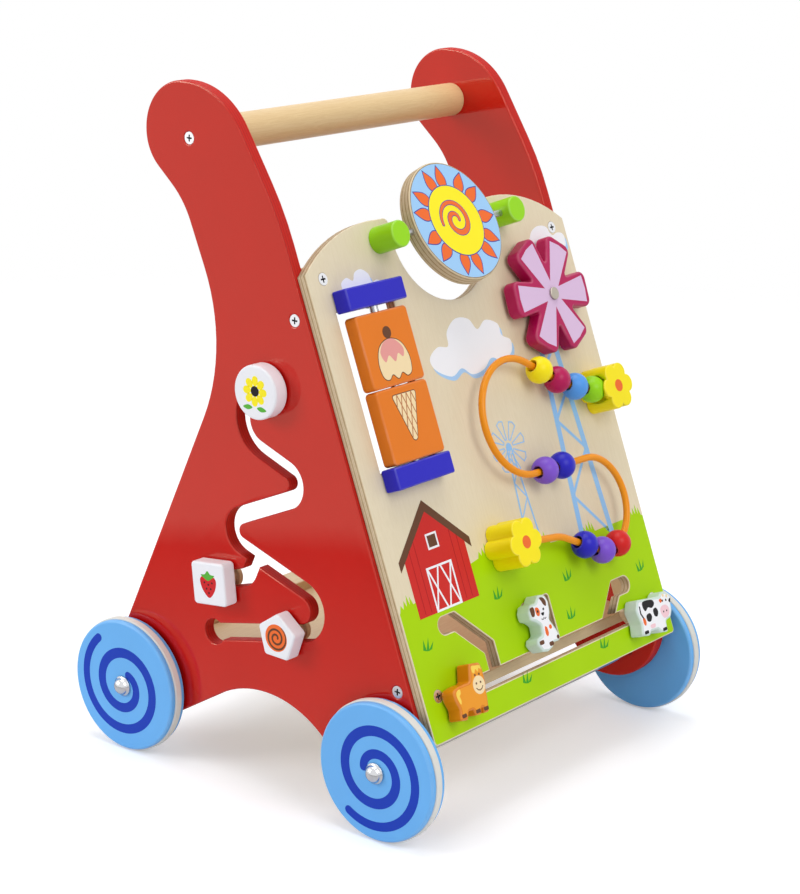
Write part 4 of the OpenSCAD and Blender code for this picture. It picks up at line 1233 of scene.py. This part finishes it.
# %% Sun
RAYS, SUN_R, RAY_LOW, RAY_HIGH, RAY_HALF, LINE = 13, 26.5, 24.0, 41.5, 4.6, 0.7
RAY_SWAY, CURL_LINE = (-2.0, 3.0), 1.6 * LINE
CURL_STEPS, CURL_LOW, CURL_GROWTH, CURL_SWEEP, CURL_W, CURL_SWELL = 48, 3.0, 13.0, 9.5, 1.8, 2.2
sun_line = printed("sun_line", (52, 70, 160))
sky_round = disc(0, 0, DISC_R - 1.5, 96)
RAY_L = RAY_HIGH - RAY_LOW
ray_side = [(RAY_LOW + RAY_L * t, RAY_HALF * sin(pi * t ** 0.75)) for t in even(12)]
ray = ray_side[::-1] + [(x, -y) for x, y in ray_side[1:-1]]
ray_turns = [360 / RAYS * k + RAY_SWAY[k % 2] for k in range(RAYS)]
curl = [polar(CURL_LOW + CURL_GROWTH * t, CURL_SWEEP * t) for t in even(CURL_STEPS)]
curl_widths = [CURL_W + CURL_SWELL * sin(pi * t) for t in even(CURL_STEPS)]
on_disc = ink_on(disc_frame, HALF_DISC, "disc")
on_disc("disc_sky", [sky_round], sky_ink)
on_disc("sun_ray_lines", [moved(grown(ray, LINE), turn=turn) for turn in ray_turns], sun_line, 1)
on_disc("sun_rays", [moved(ray, turn=turn) for turn in ray_turns], orange_ink, 2)
on_disc("sun_ring", [disc(0, 0, SUN_R + LINE, 96)], sun_line, 3)
on_disc("sun_round", [disc(0, 0, SUN_R, 96)], sun_ink, 4)
on_disc("sun_curl_line", [swelling(curl, [w + CURL_LINE for w in curl_widths])], sun_line, 5)
on_disc("sun_curl", [swelling(curl, curl_widths)], orange_ink, 6)
print("sun with", RAYS, "rays")

# %% Moon
MOON_R, HOLLOW_R, HOLLOW_X, STAR_RADII = 26, 22.6, 14, [5, 2.1]
STARS_AT = ((18, 8), (24, -10), (10, -14), (12, 24))
night_ink = printed("night_ink", (60, 96, 190))
moon = [polar(MOON_R, radians(60 + 240 * t)) for t in even(40)]
hollow = moved([polar(HOLLOW_R, radians(268 - 176 * t)) for t in even(40)], HOLLOW_X)
star = [polar(r, radians(90 + 36 * k)) for k, r in enumerate(STAR_RADII * 5)]
on_disc_back = ink_on(disc_frame @ turned(pi, "Y"), HALF_DISC, "disc")
on_disc_back("disc_night", [sky_round], night_ink)
on_disc_back("moon", [moved(moon + hollow, 2)], sun_ink, 1)
on_disc_back("stars", [moved(star, *p) for p in STARS_AT], white_ink, 1)
print("moon with", len(STARS_AT), "stars")

# %% [markdown]
# ## The farm print on the board
# The lower part of the board is printed as grass with a ragged top edge. The maze is cut
# through it, so the grass takes the maze's own loops as holes, set back by the round edge.

# %% Grass
BOARD_HALF, GRASS_INSET, SCREW_MARGIN, GRASS_WAVE = 147.2, 0.8, 0.25, 1.2
MAZE_TOP, MAZE_MIN_W, SCREW_TOP, SCREW_MAX_W = 85, 20, 45, 12
GRASS_EDGE = [(-148, 91), (-120, 99), (-54, 107), (0, 102), (66, 95), (148, 93)]
BLADES = [
    (7.5, 0), (5.2, 6.5), (4.0, 1.0), (2.2, 8.8), (0.6, 1.2), (-1.4, 6.2), (-3.2, 0.8),
    (-5.4, 4.4), (-7.5, 0),
]
BLADES_AT = [138, 77, 22, -46, -139]
grass_ink = printed("grass_ink", (170, 214, 4))
on_board = ink_on(BOARD, 0.0, "frame")


def grass_top(x):
    """The height of the meadow's edge: a hill behind the barn, with small waves."""
    pairs = zip(GRASS_EDGE, GRASS_EDGE[1:])
    (x0, y0), (x1, y1) = next(pair for pair in pairs if x <= pair[1][0])
    return y0 + (y1 - y0) * (x - x0) / (x1 - x0) + GRASS_WAVE * sin(x / 9.0)


foot = rounded([
    (-BOARD_HALF, 50, 0), (-BOARD_HALF, GRASS_INSET, 2.4), (BOARD_HALF, GRASS_INSET, 2.4),
    (BOARD_HALF, 50, 0),
])
meadow = foot[1:-1] + [(BOARD_HALF, grass_top(BOARD_HALF))]
for x in BLADES_AT:
    meadow += [(x + dx, grass_top(x + dx) + dy) for dx, dy in BLADES]
meadow.append((-BOARD_HALF, grass_top(-BOARD_HALF)))
cut_outs = []
for loop in board_loops:
    xs, ys = zip(*loop)
    wide, top = max(xs) - min(xs), max(ys)
    if top < MAZE_TOP and wide > MAZE_MIN_W:
        cut_outs.append(grown(loop, GRASS_INSET))
    elif top < SCREW_TOP and wide < SCREW_MAX_W:
        cut_outs.append(grown(loop, SCREW_MARGIN))
on_board("grass", [[meadow] + cut_outs], grass_ink)
print("grass holes", len(cut_outs))

# %% Grass tufts
TUFT = [
    [(-4.4, 0), (-1.0, -0.6), (-3.6, 7.2)], [(-1.2, -0.5), (1.8, -0.4), (1.6, 8.8)],
    [(1.2, -0.2), (4.6, 0.8), (6.6, 6.2)],
]
TUFT_SWAY = (-14, 6, -4)
TUFTS_AT = [(-130, 62), (-96, 12), (-44, 76), (-38, 13), (38, 69), (30, 42), (58, 12), (127, 54)]
tuft_ink = printed("tuft_ink", (60, 164, 45))
tufts = []
for i, (x, y) in enumerate(TUFTS_AT):
    tufts += [moved(blade, x, y, TUFT_SWAY[i % 3]) for blade in TUFT]
on_board("grass_tufts", tufts, tuft_ink, 1)
print("tufts", len(TUFTS_AT))

# %% [markdown]
# A small plank barn stands at the left: a red body under a brown roof, with a white framed
# double door and a square loft window.

# %% Barn
BARN_X, BARN_LOW, BARN_HALF, BARN_EAVES, BARN_TOP = -96.0, 83.0, 33.0, 124.0, 152.0
ROOF_OUT, ROOF_T, PLANK_W, PLANK_RISE = 6, 7, 0.7, 24
PLANKS_AT = (-26, -19.5, 19.5, 26)
barn_ink, plank_ink = printed("barn_ink", (206, 46, 42)), printed("plank_ink", (176, 34, 34))
ROOF_HALF, ROOF_LOW = BARN_HALF + ROOF_OUT, BARN_EAVES - ROOF_T
walls = [
    (-BARN_HALF, BARN_LOW), (BARN_HALF, BARN_LOW), (BARN_HALF, BARN_EAVES), (0, BARN_TOP),
    (-BARN_HALF, BARN_EAVES),
]
roof = [
    (-ROOF_HALF, ROOF_LOW), (-ROOF_HALF, BARN_EAVES), (0, BARN_TOP + ROOF_T),
    (ROOF_HALF, BARN_EAVES), (ROOF_HALF, ROOF_LOW), (0, BARN_TOP - 1),
]
planks = []
for x in PLANKS_AT:
    top = BARN_EAVES + PLANK_RISE * (1 - abs(x) / BARN_HALF)
    planks.append(stroke([(x, BARN_LOW + 2), (x, top)], PLANK_W))
on_barn = ink_on(place(BOARD, BARN_X, 0), 0.0, "frame")
on_barn("barn_body", [walls], barn_ink, 1)
on_barn("barn_planks", planks, plank_ink, 2)
on_barn("barn_roof", [roof], brown_ink, 2)
print("barn", 2 * BARN_HALF, "mm wide")

# %% Barn door and window
DOOR, DOOR_LINE = (0, BARN_LOW + 15.5, 28, 31), 1.5
WINDOW, WINDOW_LINE, PANE = (0, 130.5, 12, 11), 1.4, (0, 130.5, 9, 8)


def box_loop(x, y, w, h, inset=0.0):
    """The corners of a box about a point, set in by a margin."""
    return moved(plate_loop(w - 2 * inset, h - 2 * inset, 0), x, y)


frames = [[box_loop(*DOOR), box_loop(*DOOR, DOOR_LINE)]]
frames.append([box_loop(*WINDOW), box_loop(*WINDOW, WINDOW_LINE)])
x, y, w, h = DOOR
rising, falling = [], []
for middle in (x - w / 4, x + w / 4):
    low_left, low_right, high_right, high_left = box_loop(middle, y, w / 2, h, DOOR_LINE)
    rising.append(stroke([low_left, high_right], DOOR_LINE))
    falling.append(stroke([high_left, low_right], DOOR_LINE))
on_barn("barn_rising", rising, white_ink, 2)
on_barn("barn_falling", falling, white_ink, 3)
on_barn("barn_frames", frames, white_ink, 4)
on_barn("barn_window", [box_loop(*PANE)], brown_ink, 2)
print("barn frames", len(frames))

# %% [markdown]
# Soft round clouds with a pale blue underside, a light blue lattice tower under the windmill
# and a small wind pump in the distance finish the picture.

# %% Clouds
PUFFS = [
    (-31, 0), (-33, 7), (-25, 12), (-17, 11), (-15, 19), (-6, 25), (4, 23), (9, 16), (17, 20),
    (26, 16), (27, 9), (33, 5), (31, -2), (22, -5), (14, -2), (6, -7), (-4, -8), (-11, -3),
    (-20, -6),
]
CLOUDS = [(0, 241, 1.42, 1.25, 1), (-97, 303, 0.72, 0.72, -1)]
BY_SCREW = [
    (97, 304), (96.5, 312), (101, 315), (105.5, 320), (113, 323), (121, 322.6), (125.8, 320),
    (127.2, 316.4), (130.6, 314), (136, 315.2), (142, 314), (144, 310), (141, 303), (120, 300),
]
SHADE_SHIFT = (1.5, -3.2)
cloud_loops = []
for x, y, wide, tall, way in CLOUDS:
    puffs = [(x + way * wide * px, y + tall * py) for px, py in PUFFS]
    cloud_loops.append(flowing(puffs[::way], 5))
cloud_loops.append(flowing(BY_SCREW[::-1], 5))
cloud_shade = printed("cloud_shade", (170, 208, 246))
on_board("cloud_shades", [moved(loop, *SHADE_SHIFT) for loop in cloud_loops], cloud_shade)
on_board("clouds", cloud_loops, white_ink, 1)
print("clouds", len(cloud_loops))

# %% Tower and wind pump
BAYS, BAY_RATIO = 6, 0.84
PUMP_HUB, PUMP_HUB_R, PUMP_VANES, PUMP_TURN, VANE_LINE = (12.0, 174.0), 3.0, 8, 11, 0.8
tower_ink = printed("tower_ink", (150, 198, 244))


def lattice_tower(name, low, high, half_low, half_high, leg_w, bar_w):
    """Two leaning legs, from the middle of the foot to the middle of the top, over a zigzag."""
    def at(side, t):
        half = half_low + (half_high - half_low) * t
        return (low[0] + (high[0] - low[0]) * t + side * half, low[1] + (high[1] - low[1]) * t)

    levels = [1 - BAY_RATIO ** k for k in range(BAYS + 1)]
    turns = [at((-1) ** k, level / levels[-1]) for k, level in enumerate(levels)]
    zigzag = [stroke(ends, bar_w) for ends in zip(turns, turns[1:])]
    legs = [stroke([at(side, 0), at(side, 1)], leg_w) for side in (-1, 1)]
    on_board(name + "_bars", zigzag, tower_ink)
    on_board(name + "_legs", legs, tower_ink, 1)


lattice_tower("tower", (86.0, 88.0), (88.0, 236.0), 18.5, 8.5, 5.4, 2.6)
lattice_tower("pump", (12.0, 104.0), PUMP_HUB, 8.0, 2.4, 1.6, 1.2)
pump_vane = [(5.0, -1.2), (18.5, -4.0), (20.0, 0.0), (18.5, 4.0), (5.0, 1.2)]
pump_vanes = []
for k in range(PUMP_VANES):
    turn = PUMP_TURN + 360 / PUMP_VANES * k
    outlines = (pump_vane, grown(pump_vane, -VANE_LINE))
    pump_vanes.append([moved(loop, *PUMP_HUB, turn) for loop in outlines])
on_board("pump_vanes", pump_vanes, tower_ink, 2)
on_board("pump_hub", [disc(*PUMP_HUB, PUMP_HUB_R)], tower_ink, 2)
print("pump vanes", len(pump_vanes))

# %% [markdown]
# ## Prints on the turning toys
# The windmill has pale pink vanes, the flowers an orange middle. The two blocks make one
# picture when both face the front: an ice cream, with its scoop above and its cone below.

# %% Windmill and flowers
MILL_BLADES, MILL_TURN, VANE_IN_R, FLOWER_DOT_R = 6, -3, 9.5, 4.6
vane_ink = printed("vane_ink", (222, 192, 224))
mill_vane = [polar(VANE_IN_R, radians(-30)), (39.0, -10.0), (40.2, 0.0), (39.0, 10.0)]
vanes = []
for k in range(MILL_BLADES):
    vanes += moved(mill_vane, turn=MILL_TURN + 360 / MILL_BLADES * k)
on_mill = ink_on(place(BOARD, MILL_X, MILL_UP), MILL_TOP, "mill")
on_mill("vanes", [vanes], vane_ink)
on_flowers = ink_on(BOARD, FLOWER_H, "frame")
on_flowers("flower_middles", [disc(x, y, FLOWER_DOT_R) for x, y in FLOWERS.values()], orange_ink)
print("vanes", len(vanes))

# %% Ice cream's shapes
SCOOP_SHIFT, CONE_SHIFT, CREAM_LINE, WAFFLE_W = -4, 2, 0.6, 0.8
WAFFLE = (0.2, 0.4, 0.6, 0.8)
CONE_L, CONE_R, CONE_TIP = Vector((-12.5, 18)), Vector((12.5, 18)), Vector((0, -20))
scoop = flowing([
    (-15, -14), (-16, -4), (-11, 6), (0, 10), (11, 6), (16, -4), (15, -14), (10, -17), (5, -14),
    (0, -17.5), (-5, -14), (-10, -17),
], 6)
sauce = flowing([
    (-12, 2), (-6, 8.6), (4, 9.4), (12, 2), (10, -4), (5.5, -1), (1, -6), (-4, -1), (-9, -5),
], 6)
cone = rounded([(*CONE_L, 1.5), (*CONE_TIP, 2.5), (*CONE_R, 1.5)])
falling, rising = [], []
for f in WAFFLE:
    rim = CONE_L.lerp(CONE_R, f)
    falling.append(stroke([rim, CONE_R.lerp(CONE_TIP, 1 - f)], WAFFLE_W))
    rising.append(stroke([rim, CONE_L.lerp(CONE_TIP, f)], WAFFLE_W))
print("scoop", len(scoop), "points, waffle", len(falling + rising), "lines")

# %% Ice cream's inks
SCOOP_INKS = [
    ("scoop_line", [grown(scoop, CREAM_LINE)], brown_ink), ("scoop", [scoop], cream_ink),
    ("sauce", [sauce], pink_ink), ("cherry", [disc(0, 14.5, 4.2)], brown_ink),
]
CONE_INKS = [
    ("cone_line", [grown(cone, CREAM_LINE)], brown_ink), ("cone", [cone], cream_ink),
    ("waffle_falling", falling, waffle_ink), ("waffle_rising", rising, waffle_ink),
]
PICTURES = [("upper", SCOOP_SHIFT, SCOOP_INKS), ("lower", CONE_SHIFT, CONE_INKS)]
for tag, turn in (("front", 0.0), ("back", pi)):
    for block, shift, inks in PICTURES:
        face = flip_frames[block] @ turned(turn, "Y")
        on_block = ink_on(face, FLIP_T / 2, block + "_block")
        for layer, (part, loops, material) in enumerate(inks):
            on_block(part + "_" + tag, [moved(loop, 0, shift) for loop in loops], material, layer)
print("ice cream inks", len(SCOOP_INKS) + len(CONE_INKS))

# %% [markdown]
# ## Faces of the figures and knobs
# The animals' fronts are printed over their paint, with a narrow margin left at the edge.
# A mark's place is counted from about the lower left corner of its figure, so that a picture
# can be drawn without regard to where the figure stands on the board.

# %% Figures' fronts
FACE_MARGIN = 1.8
face_orange, mane_ink = printed("face_orange", (238, 156, 48)), printed("mane_ink", (250, 214, 92))
muzzle_ink = printed("muzzle_ink", (246, 206, 214))
FRONT_INKS = {"horse": face_orange, "dog": white_ink, "cow": white_ink}
on_figure = {}
for tag, (x, y, material, slot) in FIGURES.items():
    front = [grown(loop, -FACE_MARGIN) for loop in figure_loops[tag]]
    ink_on(BOARD, FIGURE_TOP, tag)(tag + "_front", [front], FRONT_INKS[tag])
    corner = place(BOARD, x - STEM_AT[tag][0], y - STEM_AT[tag][1], FIGURE_TOP)
    on_figure[tag] = ink_on(corner, 0.0, tag)


def smooth(*shapes):
    """Smooth closed loops, each through its own points."""
    return [flowing(points, 6) for points in shapes]


def dots(r, n, *places):
    """Round dots of n sides."""
    return [disc(x, y, r, n) for x, y in places]


def hooves(w, h, r, *places):
    """Rounded bars for hooves or paws."""
    return [moved(plate_loop(w, h, r), x, y) for x, y in places]


print("fronts", sorted(on_figure))

# %% Horse
horse_mane = smooth(
    [(21.6, 30.2), (22.2, 34), (26.6, 33.4), (30.6, 32.6), (31, 29.4), (29.2, 31), (27.4, 28.8),
     (25.6, 31.2), (23.6, 28.8)],
    [(4.8, 22.8), (1.6, 22.4), (0, 20.2), (0.6, 16.4), (2.2, 13), (3.4, 15.4), (2.9, 18.4),
     (4.6, 20)],
)
smile = stroke([(21.8, 18.6), (23.2, 17.2), (25.2, 16.6), (27.2, 17.2), (28.6, 18.6)], 0.7)
eyes_and_nostrils = dots(0.8, 16, (22.8, 21.8), (27.4, 21.6), (23.6, 27.4), (28, 27.1))
horse_hooves = hooves(4.8, 2.6, 0.8, (2.6, 5.0), (17.5, 4.0), (26.3, 3.4))
on_figure["horse"]("horse_mane", horse_mane, mane_ink, 1)
on_figure["horse"]("horse_muzzle", [disc(25.2, 20.2, 6.3)], cream_ink, 1)
on_figure["horse"]("horse_marks", [smile] + eyes_and_nostrils, brown_ink, 2)
on_figure["horse"]("horse_hooves", horse_hooves, brown_ink, 1)
print("horse marks", 1 + len(eyes_and_nostrils))

# %% Dog
ears = smooth(
    [(-1.2, 30.8), (2.4, 31), (3.2, 28), (1.8, 24.8), (-1, 24.8), (-1.6, 28)],
    [(11.8, 35.4), (15.6, 34.8), (18, 31.8), (17, 28.4), (14.6, 29.8), (13.2, 32.6)],
)
paws = hooves(5.4, 3.0, 1.2, (2.0, 5.4)) + hooves(5.0, 3.0, 1.2, (12.2, 2.0))
spots = smooth(
    [(4.2, 29.6), (7.4, 29.4), (8.6, 26.4), (7, 23.6), (4.4, 24.8)],
    [(9.6, 14.8), (11.8, 14), (12.2, 9.8), (10.4, 7.8), (8.8, 10)],
)
mouth_line = stroke([(8.6, 20.8), (10, 20.1), (11.2, 21.2), (12.4, 20.1), (13.8, 20.8)], 0.6)
nose = smooth([(9.4, 24.6), (11.2, 25), (13, 24.6), (11.2, 22.6)])
dog_marks = dots(0.9, 16, (6.4, 26.8), (13.2, 27)) + [mouth_line] + nose
on_figure["dog"]("dog_patches", ears + paws + dots(1.5, 24, (21.2, 4.6)), brown_ink, 1)
on_figure["dog"]("dog_spots", spots + dots(1.6, 24, (15.8, 13.4)), orange_ink, 1)
on_figure["dog"]("dog_marks", dog_marks, black_ink, 2)
print("dog marks", len(dog_marks))

# %% Cow
cow_patches = smooth(
    [(9.5, 24.8), (16, 25), (22.5, 23.4), (23.5, 20.2), (19.5, 18.2), (15, 19.6), (11, 17.8),
     (8.8, 20.8)],
    [(20.5, 16.4), (24.5, 17), (26, 13.6), (23.6, 10.6), (20.4, 12)],
    [(10.6, 14.4), (15.4, 15.2), (17, 12), (14, 9.2), (10.4, 10.4)],
    [(42.2, 18), (44.6, 19.4), (45.2, 18.6), (43.6, 16.2)],
)
tail = stroke([(4.8, 22.4), (4.3, 17.5), (6.4, 13.4)], 1.4)
cow_hooves = hooves(5.4, 2.4, 0.9, (5.8, 2.9), (29, -0.7))
cow_tufts = smooth(
    [(5.4, 13.4), (7.8, 13.2), (8.4, 9.6), (6.6, 7.8), (5, 10)],
    [(30.6, 21.2), (33.4, 21.8), (34, 19.8), (31.8, 18.8)],
)
muzzle_and_udder = smooth(
    [(29, 12.2), (31.2, 16), (37.4, 16), (40.4, 12.2), (38, 7.8), (32, 7.2)],
    [(12.6, 6.6), (18.4, 6.4), (18, 4.1), (15.4, 3.8), (13, 4.2)],
)
cow_marks = dots(0.9, 16, (34.6, 19.8), (39.2, 19.2)) + dots(0.7, 16, (32.8, 11.8), (36.8, 11.6))
on_figure["cow"]("cow_patches", cow_patches + [tail] + cow_hooves, black_ink, 1)
on_figure["cow"]("cow_tuft", cow_tufts, orange_ink, 1)
on_figure["cow"]("cow_muzzle", muzzle_and_udder, muzzle_ink, 1)
on_figure["cow"]("cow_horns", dots(1.2, 20, (37, 23.4), (41.2, 21.8)), cream_ink, 1)
on_figure["cow"]("cow_marks", cow_marks, black_ink, 2)
print("cow marks", len(cow_marks))

# %% [markdown]
# The knobs each have a small picture about their middle: a daisy on the round one, a
# strawberry on the square one and a spiral shell on the one with five sides.

# %% Knob pictures
PETALS, DAISY_Y = 8, 1
COIL_STEPS, COIL_LOW, COIL_GROWTH, COIL_SWEEP, COIL_W = 60, 1.5, 8.0, radians(780), 1.5
SEEDS_AT = ((-3.6, 1), (0, -0.4), (3.6, 1), (-2, -3.4), (2, -3.4), (0, -6.4))
leaf_ink, berry_ink = printed("leaf_ink", (92, 178, 64)), printed("berry_ink", (206, 40, 44))
petal = flowing([(3.2, 0), (6, 2.6), (9.4, 2.2), (10.6, 0), (9.4, -2.2), (6, -2.6)], 5)
petals = [moved(petal, 0, DAISY_Y, 360 / PETALS * k) for k in range(PETALS)]
LEAF = [(2, -10.5), (6, -9), (10.5, -11), (6, -12.5)]
leaves = [flowing([(side * x, y) for x, y in LEAF], 5) for side in (1, -1)]
berry = flowing([(-7.5, 3), (-4, 6), (0, 5), (4, 6), (7.5, 3), (6, -4), (0, -10), (-6, -4)], 6)
berry_cap = flowing([
    (-6.4, 6.4), (-2.6, 7), (0, 9.6), (2.6, 7), (6.4, 6.4), (3, 3.8), (0, 2.4), (-3, 3.8),
], 5)
coil = [polar(COIL_LOW + COIL_GROWTH * t, COIL_SWEEP * t) for t in even(COIL_STEPS)]
coil_widths = [COIL_W * min(1, 0.4 + 4 * (1 - t)) for t in even(COIL_STEPS)]
on_knob = {}
for tag, (across, z, turn) in KNOBS.items():
    middle = place(left_face, across, z, FIGURE_TOP, turn)
    on_knob[tag] = ink_on(middle, 0.0, tag + "_slider")
on_knob["round"]("daisy_petals", petals, sun_ink)
on_knob["round"]("daisy_middle", [disc(0, DAISY_Y, 3.6)], black_ink, 1)
on_knob["round"]("daisy_leaves", leaves, leaf_ink)
on_knob["square"]("berry", [berry], berry_ink)
on_knob["square"]("berry_cap", [berry_cap], leaf_ink, 1)
on_knob["square"]("berry_seeds", dots(0.7, 12, *SEEDS_AT), black_ink, 1)
on_knob["five"]("shell", [disc(0, 0, 9.8)], orange_ink)
on_knob["five"]("shell_coil", [swelling(coil, coil_widths)], brown_ink, 1)
print("knobs printed", sorted(on_knob))

# %% [markdown]
# ## Floor and light
# The walker stands on a plain pale floor that fades into white. The glossy red panels mirror
# a floor that gets darker outwards and ends like a table, so the floor looks that way to
# glossy rays only. Three big soft lights, in front, at the rear left and overhead, give soft
# shadows, as in a photo studio.

# %% Floor
FLOOR_R, FLOOR_TONE, FLOOR_GLOW = 3.2, (0.85, 0.86, 0.89, 1), 0.3
FADE_FROM, FADE_TO = 0.45, 1.7
MIRRORED_NEAR, MIRRORED_FAR, NEAR_GREY, FAR_GREY = 0.1, 0.68, 0.78, 0.12
TABLE_END, TABLE_GONE = 0.66, 0.74
floor_mesh = bpy.data.meshes.new("floor")
bm = bmesh.new()
bmesh.ops.create_circle(bm, cap_ends=True, segments=96, radius=FLOOR_R)
bm.to_mesh(floor_mesh)
bm.free()
floor = show(bpy.data.objects.new("floor", floor_mesh))
floor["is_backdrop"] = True
floor_paper, tree, sockets = new_material(
    "floor_paper", {"Roughness": 0.7, "Emission Color": (1, 1, 1, 1)})
ray_kind = tree.add("LightPath").outputs
seen, mirrored = ray_kind["Is Camera Ray"], ray_kind["Is Glossy Ray"]
away = tree.vectors("LENGTH", tree.where())["Value"]
dimmed = tree.spread(away, MIRRORED_NEAR, MIRRORED_FAR, NEAR_GREY, FAR_GREY)
tree.feed(tree.mixed(mirrored, FLOOR_TONE, dimmed), sockets["Base Color"])
tree.feed(tree.maths("MULTIPLY", seen, FLOOR_GLOW), sockets["Emission Strength"])
ended = tree.maths("MULTIPLY", mirrored, tree.spread(away, TABLE_END, TABLE_GONE, 0.0, 1.0))
straight = tree.maths("SUBTRACT", 1.0, mirrored)
paling = tree.maths("MULTIPLY", straight, tree.spread(away, FADE_FROM, FADE_TO, 0.0, 1.0))
fade = tree.maths("ADD", paling, ended)
paper = tree.nodes["Principled BSDF"].outputs["BSDF"]
clear = tree.add("BsdfTransparent").outputs["BSDF"]
blend = tree.add("MixShader", {0: fade, 1: paper, 2: clear})
tree.feed(blend.outputs[0], tree.nodes["Material Output"].inputs["Surface"])
floor_mesh.materials.append(floor_paper)
print("floor", FLOOR_R, "m radius")

# %% World and lights
AMBIENT = 0.5
LIGHTS = [
    ("front_light", (-0.3, -2.1, 1.8), (0, 0, 0.25), 1.4, 21),
    ("side_light", (-1.9, 1.6, 1.2), (0, 0, 0.25), 1.2, 26),
    ("top_light", (0.1, 0.2, 2.4), (0, 0, 0.2), 1.6, 22),
]
world = bpy.data.worlds.new("studio")
bpy.context.scene.world = world
world.use_nodes = True
tree = Tree(world.node_tree)
backdrop = tree.nodes["Background"].inputs
backdrop["Color"].default_value = (1, 1, 1, 1)
path = tree.add("LightPath").outputs
lit = tree.maths("MAXIMUM", path["Is Camera Ray"], path["Is Glossy Ray"])
tree.feed(tree.maths("MAXIMUM", lit, AMBIENT), backdrop["Strength"])
for name, at, look_at, size, watts in LIGHTS:
    lamp = bpy.data.lights.new(name, "AREA")
    lamp.shape, lamp.size, lamp.energy = "SQUARE", size, watts
    light = show(bpy.data.objects.new(name, lamp))
    light.location = at
    light.rotation_euler = (Vector(look_at) - Vector(at)).to_track_quat("-Z", "Y").to_euler()
bpy.context.scene.view_settings.view_transform = "Standard"
print("lights", len(bpy.data.lights))

# %% [markdown]
# ## Size
# The box round the frame and the box round the dressed walker are printed side by side.

# %% Size
new_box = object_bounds()
for label, box in (("cad", cad_box), ("visual", new_box)):
    print(label, [[round(c, 4) for c in v] for v in box])
